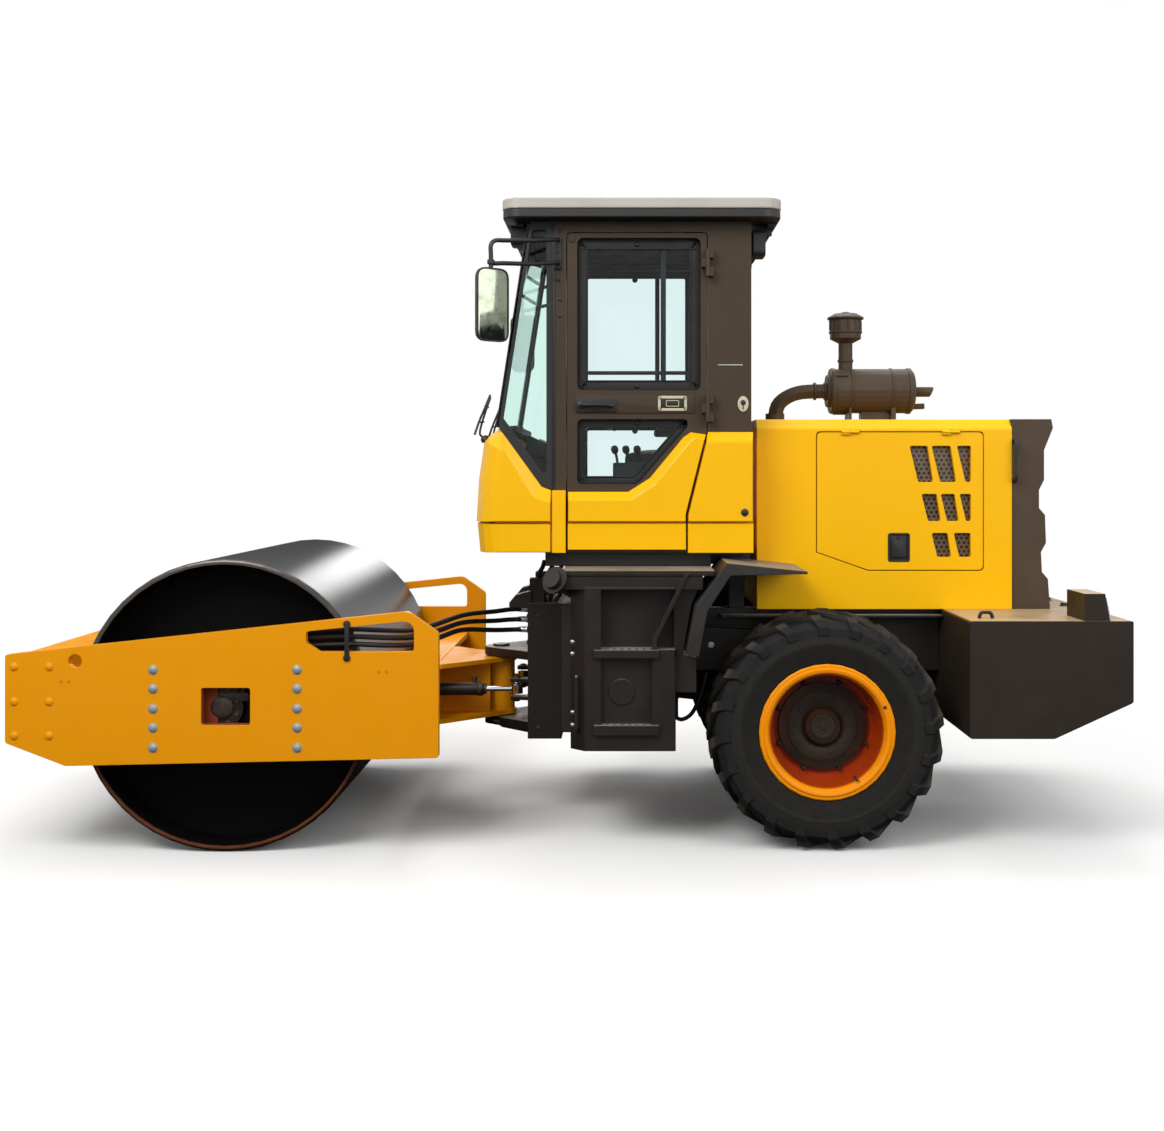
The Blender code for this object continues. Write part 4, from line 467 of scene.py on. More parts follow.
# Glass-fibre roof panel: warm grey, with weather streaks
ROOF_PANEL = Finish("roof_panel_glass_fibre", "#BBB5AB", 0.5, second="#7F786E", amount=0.4, bump=0.1,
                    edge_mm=8.0, dust_height=3.5, specular=0.4)
# Seat vinyl with an embossed leather grain: soft dark grey
SEAT_VINYL = Finish("seat_vinyl_grained", "#26282A", 0.5, second="#44484A", amount=0.25, bump=0.4, grain_mm=3.0,
                    edge_mm=6.0)
# Mirror glass: silvered on its back, so it shows the studio sharply
MIRROR_GLASS = Finish("mirror_glass_silvered", "#8A9080", 0.04, metallic=1.0, second="#3E4534", amount=0.8,
                      patch_mm=60.0, bump=0.0, dust_height=4.0)
# Lamp lenses: clear polycarbonate over a bright bowl, red and amber acrylic, each with a hard gloss
LENS_CLEAR = Finish("lens_polycarbonate_clear", "#D9DCDC", 0.15, second="#9FA3A3", amount=0.4, patch_mm=30.0,
                    bump=0.2, grain_mm=8.0, coat=0.6)
LENS_RED = Finish("lens_acrylic_red", "#8E1410", 0.18, second="#5A0B08", amount=0.4, patch_mm=25.0, bump=0.2,
                  grain_mm=6.0, coat=0.6)
LENS_AMBER = Finish("lens_acrylic_amber", "#C9650A", 0.18, second="#8A4205", amount=0.4, patch_mm=25.0,
                    bump=0.2, grain_mm=6.0, coat=0.6)
# Cream plastic of the lock plates
CREAM_PLASTIC = Finish("cream_plastic_moulded", "#CBC2A6", 0.45, second="#8F8872", amount=0.3, patch_mm=30.0,
                       bump=0.05, grain_mm=2.0, edge_mm=1.0)
# Green-tinted safety glass, deeper in the windshield than in the doors
DOOR_GLASS = Glass("safety_glass_light_green", "#F0FAFA", 0.0, second="#EDF8F8")
FRONT_GLASS = Glass("safety_glass_deep_green", "#EBFBF7", 0.0, second="#E6F8F3")
# Rolled steel polished by the ground: a soft band of light, with fine scratches round the drum
DRUM_STEEL = DrumFinish("drum_steel_bright_painted_shade_inside", "#8C8E90", 0.30, metallic=1.0, bump=0.06, grain_mm=8.0,
                        specular=0.08)
# Vulcanised rubber: dull black, paler on the lugs where dust holds on; a paler ring on the sidewall's bulge is a
# painted highlight, and the sidewall is darker towards the rim
TYRE_RUBBER = WheelFinish("tyre_rubber_dust_and_painted_highlight", "#1A1A1A", 0.7, second="#36322B", amount=0.25,
                          patch_mm=90.0, bump=0.5, grain_mm=4.0, edge_mm=3.0, blur=0.006, specular=0.2,
                          rings=((0.330, "#181817"), (0.415, "#1C1B1A"), (0.462, "#24231F"),
                                 (0.545, "#1E1D1D"), (1.0, "#3A352E")))
# Enamel on the rims: bright at the flange, red-brown in the bowl as painted shade, and dark at the hub
RIM_ENAMEL = WheelFinish("enamel_rim_painted_shade_bowl", "#FF9C00", 0.36, second="#A8601A", amount=0.12, coat=0.2,
                         bump=0.05, grain_mm=5.0, edge_mm=2.0, specular=0.2,
                         rings=((0.217, "#221B16"), (0.240, "#7E2604"), (0.276, "#AE3A05"),
                                (1.0, "#FF9A02")))

NODE_FINISHES: tuple[tuple[Finish, tuple[str, ...]], ...] = (
    (ORANGE_ENAMEL, ("front_plate_left", "front_plate_right", "front_beam", "rear_beam", "scraper")),
    (YELLOW_ENAMEL, ("cab_cowl", "cab_skirt", "door_skin_left", "door_skin_right", "hood",
                     "hood_door_left", "hood_door_right")),
    (BROWN_ENAMEL, ("cab_side_left", "cab_side_right", "cab_tub", "door_left", "door_right")),
    (DARK_ENAMEL, ("frame_head", "frame_rails", "tank_left", "tank_right",
                   "drum_mount_left", "drum_mount_right",
                   "steer_barrel_left", "steer_barrel_right")),
    (WEIGHT_ENAMEL, ("counterweight",)),
    (CAST_IRON, ("rear_axle", "gearbox", "engine_block")),
    (CHROME, ("steer_rod_left", "steer_rod_right")),
    (AIR_ENAMEL, ("air_cleaner", "grille")),
    (BLACK_PLASTIC, ("mirror_left", "mirror_right", "lamps_front", "lamps_rear", "steering_column",
                     "quarter_frame_left", "quarter_frame_right", "roof_frame")),
    (SEAT_VINYL, ("seat",)),
    (ROOF_PANEL, ("roof",)),
    (DOOR_GLASS, ("door_glass_left", "door_glass_right", "rear_glass")),
    (FRONT_GLASS, ("windshield", "quarter_glass_left", "quarter_glass_right")),
    (DRUM_STEEL, ("drum",)),
    (FENDER_ENAMEL, ("fender_left", "fender_right")),
    (TYRE_RUBBER, ("tyre_left", "tyre_right")),
    (RIM_ENAMEL, ("rim_left", "rim_right")),
)


def round_off(mesh: bpy.types.Mesh, centre: Pair) -> None:
    """Shade a drum's shell as a true cylinder, so that it mirrors light without facets.

    Args:
        mesh: The drum's mesh.
        centre: X and Z of its axis.
    """
    normals = []
    for face in mesh.polygons:
        for index in face.vertices:
            point = mesh.vertices[index].co
            arm = Vector((point.x - centre[0], 0.0, point.z - centre[1])).normalized()
            lean = arm.dot(face.normal)
            on_wall = abs(lean) > 0.9
            normals.append(arm * copysign(1.0, lean) if on_wall else face.normal.copy())
    mesh.normals_split_custom_set(normals)


def dress_frame(nodes: dict[str, bpy.types.Object]) -> None:
    """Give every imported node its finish.

    Args:
        nodes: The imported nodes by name.
    """
    for finish, names in NODE_FINISHES:
        material = finish.build()
        for name in names:
            mesh = nodes[name].data
            mesh.materials.clear()
            mesh.materials.append(material)
            LOG.info("finish %s on %s", finish.name, name)
    round_off(nodes["drum"].data, DRUM_STEEL.centre)


# Meshes


class Plane(Enum):
    """The plane an outline is drawn in: the axes of its two numbers and the one it is thickened along."""

    SIDE = (0, 2, 1)
    FRONT = (1, 2, 0)
    PLAN = (0, 1, 2)


class Slot(str, Enum):
    """The record's material slots, one of which each piece is given."""

    ORANGE = "orange_enamel"
    BROWN = "brown_enamel"
    DARK = "dark_enamel"
    CHROME = "chrome_rod"
    CASTING = "cast_housing"
    PLASTIC = "black_plastic"
    VINYL = "seat_vinyl"
    GLASS = "tinted_glass"


def rounded(outline: Sequence[Point], radius: float, steps: int = 4) -> list[Pair]:
    """Round the corners of a flat outline.

    Args:
        outline: Corner points in order.
        radius: How far from each corner the rounding starts.
        steps: Pieces of each rounding.

    Returns:
        The new points in order.
    """
    points = []
    for place, corner in enumerate(outline):
        here = Vector(corner)
        before = Vector(outline[place - 1]) - here
        after = Vector(outline[(place + 1) % len(outline)]) - here
        start = here + before.normalized() * min(radius, before.length * ROUNDING_SHARE)
        end = here + after.normalized() * min(radius, after.length * ROUNDING_SHARE)
        for step in range(steps + 1):
            share = step / steps
            point = start * (1 - share) ** 2 + here * 2 * share * (1 - share) + end * share ** 2
            points.append((point.x, point.y))
    return points


def square(x_low: float, z_low: float, x_high: float, z_high: float, radius: float = 0.0) -> list[Point]:
    """Return an upright rectangle, with rounded corners if it has a radius."""
    outline = [(x_low, z_low), (x_high, z_low), (x_high, z_high), (x_low, z_high)]
    return rounded(outline, radius) if radius else outline


def inset(outline: Sequence[Point], margin: float) -> list[Pair]:
    """Move every edge of an anticlockwise outline inwards.

    Args:
        outline: Corner points in order.
        margin: Distance to move.

    Returns:
        The new corner points.
    """
    points = []
    for place, corner in enumerate(outline):
        here = Vector(corner)
        into = (here - Vector(outline[place - 1])).normalized()
        out = (Vector(outline[(place + 1) % len(outline)]) - here).normalized()
        mitre = Vector((-into.y - out.y, into.x + out.x))
        share = mitre.length_squared / 2
        moved = here + mitre * margin / max(share, 0.2)
        points.append((moved.x, moved.y))
    return points


def smooth_route(points: Sequence[Point], pieces: int = 4) -> list[Vector]:
    """Return a smooth curve through the points.

    Args:
        points: Points of the route.
        pieces: Steps between two points.

    Returns:
        Points along the curve.
    """
    knots = [Vector(point) for point in points]
    padded = [knots[0] * 2 - knots[1], *knots, knots[-1] * 2 - knots[-2]]
    route = [knots[0]]
    for a, b, c, d in zip(padded, padded[1:], padded[2:], padded[3:]):
        for step in range(1, pieces + 1):
            t = step / pieces
            route.append(0.5 * (2 * b + (c - a) * t + (2 * a - 5 * b + 4 * c - d) * t * t
                                + (3 * b - a - 3 * c + d) * t ** 3))
    return route


def circle(centre: Pair, y: float, radius: float, count: int, start: float = 0.0) -> list[Point]:
    """Return points evenly spread round an axis along Y.

    Args:
        centre: X and Z of the axis.
        y: Y of the points.
        radius: Their distance from the axis.
        count: How many there are.
        start: Turn of the first one, in steps between two points.

    Returns:
        The points in order.
    """
    angles = (tau * (place + start) / count for place in range(count))
    return [(centre[0] + radius * cos(angle), y, centre[1] + radius * sin(angle)) for angle in angles]


@dataclass
class Form:
    """One piece in the making: closed shapes are added to one mesh, which is then dressed and set on a body.

    Attributes:
        name: The piece's name.
        finish: Its material.
        slot: The record's slot for the piece, plastic for most pieces. Not used.
        work: The mesh that the shapes are added to.
    """

    name: str
    finish: Finish
    slot: Slot = Slot.PLASTIC
    work: bmesh.types.BMesh = field(default_factory=bmesh.new)

    def add(self, points: Iterable[Point], faces: Iterable[Sequence[int]], edge: float = 0.0) -> None:
        """Add a closed shape.

        Args:
            points: Its corners.
            faces: For each face, the numbers of its corners.
            edge: Width of its softened edges.
        """
        verts = [self.work.verts.new(point) for point in points]
        made = [self.work.faces.new([verts[number] for number in face]) for face in faces]
        bmesh.ops.recalc_face_normals(self.work, faces=made)
        if edge:
            edges = list({item for face in made for item in face.edges
                          if len(item.link_faces) == 2 and item.calc_face_angle(0.0) > CREASE})
            bmesh.ops.bevel(self.work, geom=edges, offset=edge, segments=2, profile=0.6, affect="EDGES")

    def slab(self, outline: Sequence[Point], plane: Plane, low: float, high: float, edge: float = 0.002) -> None:
        """Add a flat outline thickened from low to high, with softened edges."""
        first, second, third = plane.value
        points = []
        for level in (min(low, high), max(low, high)):
            for u, v in outline:
                point = [0.0, 0.0, 0.0]
                point[first], point[second], point[third] = u, v, level
                points.append(point)
        count = len(outline)
        faces = [tuple(range(count)), tuple(range(2 * count - 1, count - 1, -1))]
        faces += [(k, (k + 1) % count, (k + 1) % count + count, k + count) for k in range(count)]
        self.add(points, faces, edge)

    def panel(self, outline: Sequence[Point], side: Side, low: float, high: float, edge: float = 0.002) -> None:
        """Add an upright outline on one side, thickened between two distances from the middle plane."""
        self.slab(outline, Plane.SIDE, side.sign * low, side.sign * high, edge)

    def rim(self, outline: Sequence[Point], width: float, plane: Plane, low: float, high: float,
            edge: float = 0.0015) -> None:
        """Add a flat ring of that width inside an anticlockwise outline."""
        first, second, third = plane.value
        points = []
        for loop in (outline, inset(outline, width)):
            for level in (low, high):
                for u, v in loop:
                    point = [0.0, 0.0, 0.0]
                    point[first], point[second], point[third] = u, v, level
                    points.append(point)
        count = len(outline)
        faces = []
        for k in range(count):
            nxt = (k + 1) % count
            loops = (0, count, 3 * count, 2 * count)
            for a, b in zip(loops, loops[1:] + loops[:1]):
                faces.append((a + k, a + nxt, b + nxt, b + k))
        self.add(points, faces, edge)

    def turned(self, at: Point, axis: Point, profile: Sequence[Point], steps: int = 16, turn: float = 0.0,
               ring: bool = False) -> None:
        """Add a turned shape.

        Args:
            at: The foot of its axis.
            axis: Direction of its axis.
            profile: Rows of radius and height, from one end to the other.
            steps: Facets round it, 6 for a hexagon.
            turn: Turn about the axis, in degrees.
            ring: Whether the profile closes on itself round a hole.
        """
        turning = Vector(axis).normalized().to_track_quat("Z", "Y").to_matrix().to_4x4()
        matrix = Matrix.Translation(at) @ turning @ Matrix.Rotation(radians(turn), 4, "Z")
        points, rings = [], []
        for radius, height in profile:
            count = steps if radius > 1e-6 else 1
            rings.append(list(range(len(points), len(points) + count)))
            for k in range(count):
                angle = tau * k / steps
                points.append(matrix @ Vector((radius * cos(angle), radius * sin(angle), height)))
        faces = []
        for low, high in zip(rings, rings[1:] + rings[:1] if ring else rings[1:]):
            for k in range(steps):
                nxt = (k + 1) % steps
                face = [low[k % len(low)], low[nxt % len(low)], high[nxt % len(high)], high[k % len(high)]]
                face = list(dict.fromkeys(face))
                if len(face) > 2:
                    faces.append(face)
        for end in (rings[0], rings[-1]):
            if len(end) > 1 and not ring:
                faces.append(end)
        self.add(points, faces)

    def tube(self, route: Sequence[Vector], radius: float, sides: int = 10) -> None:
        """Add a tube along a route, closed at both ends."""
        points = []
        side = None
        for place, here in enumerate(route):
            ahead = (route[min(place + 1, len(route) - 1)] - route[max(place - 1, 0)]).normalized()
            if side is None:
                side = ahead.orthogonal().normalized()
            side = (side - ahead * side.dot(ahead)).normalized()
            up = ahead.cross(side)
            for k in range(sides):
                angle = tau * k / sides
                points.append(here + (side * cos(angle) + up * sin(angle)) * radius)
        faces = [tuple(range(sides)), tuple(range(len(points) - 1, len(points) - sides - 1, -1))]
        for ring in range(len(route) - 1):
            for k in range(sides):
                nxt = (k + 1) % sides
                low, high = ring * sides, (ring + 1) * sides
                faces.append((low + k, low + nxt, high + nxt, high + k))
        self.add(points, faces)

    def rod(self, start: Point, end: Point, radius: float, sides: int = 14, edge: float = 0.002) -> None:
        """Add a straight round bar with softened ends."""
        along = Vector(end) - Vector(start)
        length = along.length
        edge = min(edge, radius * 0.4, length * 0.4)
        self.turned(start, along, ((0, 0), (radius - edge, 0), (radius, edge), (radius, length - edge),
                                   (radius - edge, length), (0, length)), sides)

    def bolt(self, at: Point, axis: Point, radius: float, turn: float = 0.0) -> None:
        """Add a hexagon bolt head on a washer."""
        washer = ((radius * 1.25, 0), (radius * 1.25, radius * 0.14), (radius * 1.2, radius * 0.2))
        self.turned(at, axis, washer, 16)
        head = ((radius, 0), (radius, radius * 0.62), (radius * 0.86, radius * 0.78), (0, radius * 0.78))
        self.turned(at, axis, head, 6, turn)

    def dome(self, at: Point, axis: Point, radius: float, height: float) -> None:
        """Add a domed bolt head on a flat washer."""
        self.turned(at, axis, ((radius, 0), (radius, height * 0.2), (radius * 0.95, height * 0.28),
                               (radius * 0.76, height * 0.3), (radius * 0.7, height * 0.62),
                               (radius * 0.5, height * 0.9), (radius * 0.2, height), (0, height)), 18)

    def done(self, body: Body | None, smooth: float = 35.0) -> bpy.types.Object:
        """Turn the mesh into a piece.

        Args:
            body: The body it rides on. None for one that is left free, such as a hose between two bodies.
            smooth: Largest angle in degrees that is shaded smooth.

        Returns:
            The new object.
        """
        mesh = bpy.data.meshes.new(self.name)
        self.work.to_mesh(mesh)
        self.work.free()
        for polygon in mesh.polygons:
            polygon.use_smooth = True
        mesh.set_sharp_from_angle(angle=radians(smooth))
        piece = bpy.data.objects.new(self.name, mesh)
        bpy.context.scene.collection.objects.link(piece)
        mesh.materials.append(self.finish.build())
        if body:
            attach(piece, body.value)
        LOG.info("piece %s: %d faces", self.name, len(mesh.polygons))
        return piece


# Front frame and drum


@dataclass(frozen=True)
class JointHoses:
    """Three hydraulic hoses from the drum's motor along the left plate to the rear frame's head.

    Attributes:
        diameter: Outside diameter of a hose.
        pitch: Height between two hoses in the row.
        motor_pitch: Distance between two hoses at the motor.
        route: Points of the middle hose.
        entry_z: Heights at which the hoses reach the frame head.
        entry_y: Y at which they reach it.
        head_face: X of the frame head's front face.
        bend_x: X between which the hoses bend with the steering. Not used.
        clamp_x: X of the clamp in the slot.
    """

    diameter: float = 0.026
    pitch: float = 0.036
    motor_pitch: float = 0.03
    route: tuple[Point, ...] = (
        (-1.600, -1.033, 0.790), (-1.570, -1.042, 0.868), (-1.500, -1.050, 0.950), (-1.385, -1.052, 1.010),
        (-1.235, -1.052, 1.038), (-1.060, -1.052, 1.044), (-0.910, -1.044, 1.038), (-0.800, -1.000, 1.032),
        (-0.720, -0.905, 1.036), (-0.655, -0.775, 1.048), (-0.600, -0.620, 1.058), (-0.550, -0.470, 1.060),
        (-0.500, -0.340, 1.052), (-0.440, -0.230, 1.036),
    )
    entry_z: tuple[float, ...] = (1.085, 1.030, 0.975)
    entry_y: float = -0.135
    head_face: float = -0.262
    bend_x: Pair = (-0.620, -0.290)
    clamp_x: float = -1.060

    def hose(self, place: int) -> None:
        rise = (1 - place) * self.pitch
        count = len(self.route)
        points = []
        # The hoses leave the motor side by side and turn into a row one above the other
        for number, (x, y, z) in enumerate(self.route):
            near = min(number / 4, 1.0)
            points.append((x - (1 - near) * self.motor_pitch * (place - 1), y, z + rise * near))
        # Over the last points each hose goes to its own height at the frame head
        end_z = self.entry_z[place]
        for number in range(count - 3, count):
            share = (number - count + 4) / 4
            x, y, z = points[number]
            points[number] = (x, y, z + (end_z - z) * share)
        points += [(self.head_face - 0.106, self.entry_y - 0.023, end_z),
                   (self.head_face - 0.030, self.entry_y, end_z)]
        route = smooth_route(points, 3)
        form = Form("joint_hose_%d" % (place + 1), HOSE_RUBBER)
        form.tube(route, self.diameter / 2, 10)
        piece = form.done(None, 60)
        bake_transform(piece)

    def fittings(self) -> None:
        """Crimped sleeves and nuts at both ends, and the clamp across the slot."""
        ends = Form("hose_fittings_rear", ZINC, Slot.CHROME)
        sleeve = self.diameter / 2
        for z in self.entry_z:
            at = (self.head_face, self.entry_y, z)
            ends.turned(at, (-1, 0, 0), ((sleeve * 1.55, 0), (sleeve * 1.55, 0.020), (sleeve * 1.4, 0.023)), 6)
            ends.turned(at, (-1, 0, 0), ((sleeve * 1.25, 0.018), (sleeve * 1.25, 0.056), (sleeve * 1.12, 0.060),
                                         (sleeve * 1.12, 0.066)), 16)
        ends.done(Body.REAR)
        starts = Form("hose_fittings_drum", DARK_STEEL, Slot.CASTING)
        for place in range(3):
            x = self.route[0][0] - self.motor_pitch * (place - 1)
            starts.turned((x - 0.012, -1.030, 0.760), (0.25, -0.05, 1), ((sleeve * 1.5, 0), (sleeve * 1.5, 0.022),
                                                                         (sleeve * 1.2, 0.026),
                                                                         (sleeve * 1.2, 0.060)), 12)
        starts.slab(square(-1.690, 0.735, -1.545, 0.775, 0.010), Plane.SIDE, -1.052, -1.010, 0.003)
        starts.done(Body.FRONT)
        clamp = Form("hose_clamp", BLACK_PLASTIC)
        x = self.clamp_x
        clamp.slab(square(x - 0.011, 0.950, x + 0.011, 1.114, 0.006), Plane.SIDE, -1.1385, -1.1305, 0.003)
        for z in (0.952, 1.112):
            clamp.turned((x, -1.1302, z), (0, -1, 0), ((0.017, 0), (0.017, 0.006), (0.010, 0.008), (0, 0.0082)), 16)
        clamp.slab(square(x - 0.013, 0.955, x + 0.013, 1.112, 0.005), Plane.SIDE, -1.036, -1.026, 0.003)
        for z in (0.972, 1.101):
            clamp.rod((x, -1.1310, z), (x, -1.028, z), 0.007, 10)
        clamp.done(Body.FRONT)

    def build(self) -> None:
        """Build the hoses and what holds them."""
        for place in range(3):
            self.hose(place)
        self.fittings()


@dataclass(frozen=True)
class SidePlateFixings:
    """Bolts and holes on the front frame's two side plates, and the hub window's walls and the plate behind it,
    drawn red-brown as painted shade of their orange paint.

    Attributes:
        face: Distance of the plates' outer faces from the middle.
        dome_x: X of the two rows of domed bolts.
        dome_z: Their heights.
        dome_radius: Radius of their washers.
        hex_x: X of the painted bolts at the front beam.
        hex_z: Their heights.
        hex_radius: Radius of the painted bolts.
        pairs: Middles of the small drilled pairs.
    """

    face: float = 1.130
    dome_x: tuple[float, ...] = (-1.976, -1.295)
    dome_z: tuple[float, ...] = (0.895, 0.805, 0.711, 0.621, 0.526)
    dome_radius: float = 0.0235
    hex_x: tuple[float, ...] = (-2.632, -2.467)
    hex_z: tuple[float, ...] = (0.909, 0.744, 0.583)
    hex_radius: float = 0.018
    pairs: tuple[Point, ...] = ((-2.391, 0.838), (-0.891, 0.885))

    def build(self) -> None:
        """Build the fixings on both plates."""
        for side in Side:
            out = (0, side.sign, 0)
            domes = Form("plate_domes_" + side.word, BOLT_ZINC, Slot.CHROME)
            for x in self.dome_x:
                for z in self.dome_z:
                    domes.dome((x, side.sign * (self.face - 0.001), z), out, self.dome_radius, 0.010)
            domes.done(Body.FRONT)
            heads = Form("plate_bolts_" + side.word, ORANGE_ENAMEL, Slot.ORANGE)
            for x in self.hex_x:
                for z in self.hex_z:
                    heads.dome((x, side.sign * (self.face - 0.001), z), out, self.hex_radius * 1.2, 0.008)
            heads.done(Body.FRONT)
            holes = Form("plate_holes_" + side.word, PRIMER_AND_PAINTED_SHADE, Slot.DARK)
            for x, z in self.pairs:
                for step in (-0.018, 0.018):
                    holes.turned((x + step, side.sign * (self.face - 0.004), z), out,
                                 ((0, 0), (0.006, 0), (0.0065, 0.0046), (0.0045, 0.0042), (0.004, 0.001),
                                  (0, 0.001)), 12)
            holes.done(Body.FRONT)
            # The hub window's walls and the plate behind it are orange, drawn red-brown here as painted shade
            edge = Form("hub_window_painted_shade_" + side.word, PRIMER_AND_PAINTED_SHADE, Slot.DARK)
            edge.panel(square(-1.7485, 0.640, -1.7445, 0.805), side, 1.0915, 1.128, 0.001)
            edge.panel(square(-1.7800, 0.600, -1.6900, 0.840), side, 1.0500, 1.0580, 0.002)
            edge.panel(square(-1.742, 0.6355, -1.524, 0.6385), side, 1.0915, 1.128, 0.001)
            edge.done(Body.FRONT)


@dataclass(frozen=True)
class DrumHub:
    """Bolts and covers on the drum's ends and on the mounts that carry it.

    Attributes:
        centre: X and Z of the drum's axis.
        boss_face: Outer face of the mount's boss.
        boss_circle: Radius of the circle of bolts on it.
        head_face: Outer face of the drum's end disc.
        head_circle: Radius of the circle of bolts on it.
        plate_face: Outer face of the mount's plate.
    """

    centre: Pair = (-1.676, 0.705)
    boss_face: float = 1.045
    boss_circle: float = 0.082
    head_face: float = 0.800
    head_circle: float = 0.262
    plate_face: float = 0.985

    def build(self) -> None:
        """Build the hub's bolts on both ends."""
        x, z = self.centre
        for side in Side:
            out = (0, side.sign, 0)
            hub = Form("hub_cover_" + side.word, DARK_STEEL, Slot.CASTING)
            hub.turned((x, side.sign * (self.boss_face - 0.001), z), out,
                       ((0.058, 0), (0.058, 0.006), (0.050, 0.014), (0.030, 0.018), (0, 0.018)), 24)
            spots = circle(self.centre, side.sign * (self.boss_face - 0.001), self.boss_circle, 8, 0.5)
            for place, at in enumerate(spots):
                hub.bolt(at, out, 0.011, place * 17)
            for step in (-0.250, 0.250):
                for rise in (-0.12, 0.0, 0.12):
                    at = (x + step, side.sign * (self.plate_face - 0.001), z + rise)
                    hub.bolt(at, out, 0.016, rise * 90)
            hub.done(Body.FRONT)
            head = Form("drum_end_bolts_" + side.word, DARK_STEEL, Slot.CASTING)
            spots = circle(self.centre, side.sign * (self.head_face - 0.001), self.head_circle, 16)
            for place, at in enumerate(spots):
                head.bolt(at, out, 0.015, place * 11)
            head.done(Body.DRUM)


@dataclass(frozen=True)
class CentreJoint:
    """Pins, glands, bolts and the rubber cable boots about the steering joint.

    Attributes:
        ram_front: X and distance from the middle of a ram's front eye.
        ram_rear: The same of its rear eye.
        ram_z: Height of the rams.
        ram_radius: Radius of their barrels.
        gland_at: Distance of the gland's face from the front eye.
        head_face: X of the frame head's front face.
        pin_half: Half the length of a rear eye's pin.
    """

    ram_front: Pair = (-0.850, 0.260)
    ram_rear: Pair = (-0.325, 0.240)
    ram_z: float = 0.669
    ram_radius: float = 0.034
    gland_at: float = 0.349
    head_face: float = -0.262
    pin_half: float = 0.0569

    def rams(self) -> None:
        """Build the glands, ports and pin caps of both rams."""
        for side, barrel in ((Side.LEFT, Body.BARREL_LEFT), (Side.RIGHT, Body.BARREL_RIGHT)):
            front = Vector((self.ram_front[0], side.sign * self.ram_front[1], self.ram_z))
            rear = Vector((self.ram_rear[0], side.sign * self.ram_rear[1], self.ram_z))
            along = (rear - front).normalized()
            gland = Form("ram_gland_" + side.word, DARK_STEEL, Slot.DARK)
            inner, outer = 0.0165, self.ram_radius
            ring = ((inner, 0), (outer * 0.82, 0), (outer * 0.86, 0.004), (outer * 0.86, 0.012), (inner, 0.014))
            gland.turned(front + along * (self.gland_at + 0.0005), along, ring, 20, ring=True)
            band = ((outer + 0.0003, 0), (outer + 0.004, 0.002), (outer + 0.004, 0.024), (outer + 0.0003, 0.026))
            for start in (0.060, 0.316):
                gland.turned(front + along * start, along, band, 24, ring=True)
            gland.done(barrel)
            port = Form("ram_ports_" + side.word, DARK_STEEL, Slot.DARK)
            for start in (0.095, 0.300):
                foot = front + along * start + Vector((0, 0, outer - 0.002))
                port.rod(foot, foot + Vector((0, 0, 0.022)), 0.012, 12)
                port.turned(foot + Vector((0, 0, 0.020)), (0, 0, 1),
                            ((0.014, 0), (0.014, 0.012), (0.010, 0.015)), 6)
            port.done(barrel)
            pin = Form("ram_pin_" + side.word, DARK_STEEL, Slot.DARK)
            for way in (1, -1):
                pin.dome(rear + Vector((0, 0, way * self.pin_half)), (0, 0, way), 0.026, 0.012)
            pin.done(Body.REAR)

    def bolts(self) -> None:
        """Build the bolts on the head's face, its sides and the rails, and the cable boots."""
        bolts = Form("joint_bolts", DARK_STEEL, Slot.DARK)
        for y in (-0.27, -0.225, 0.225, 0.27):
            for z in (0.92, 0.99, 1.06):
                bolts.bolt((self.head_face, y, z), (-1, 0, 0), 0.011, z * 300)
        for side in (-1, 1):
            for z in (0.475, 1.07):
                bolts.bolt((-0.205, side * 0.320, z), (0, side, 0), 0.010, z * 200)
        bolts.done(Body.REAR)
        rail = Form("rail_bolts", ZINC, Slot.CHROME)
        for side in (-1, 1):
            for z in (0.962, 0.910, 0.590, 0.538):
                rail.dome((-0.060, side * 0.4198, z), (0, side, 0), 0.013, 0.008)
        rail.done(Body.REAR)
        boot = Form("cable_boot", SEAL_RUBBER)
        for place, x in enumerate((-0.176, -0.128, -0.078)):
            lean = 0.012 * (place - 1)
            points = [(x, -0.245 + lean, 1.355), (x - 0.010, -0.262 + lean, 1.320), (x - 0.030, -0.272, 1.285),
                      (x - 0.034 - lean, -0.262, 1.250), (x - 0.030, -0.245, 1.215), (x - 0.012, -0.236, 1.185),
                      (-0.175 + 0.026 * place, -0.230, 1.132)]
            boot.tube(smooth_route(points, 3), 0.012, 8)
        boot.done(Body.REAR, 60)

    def build(self) -> None:
        """Build the joint's fixings."""
        self.rams()
        self.bolts()


# Cab


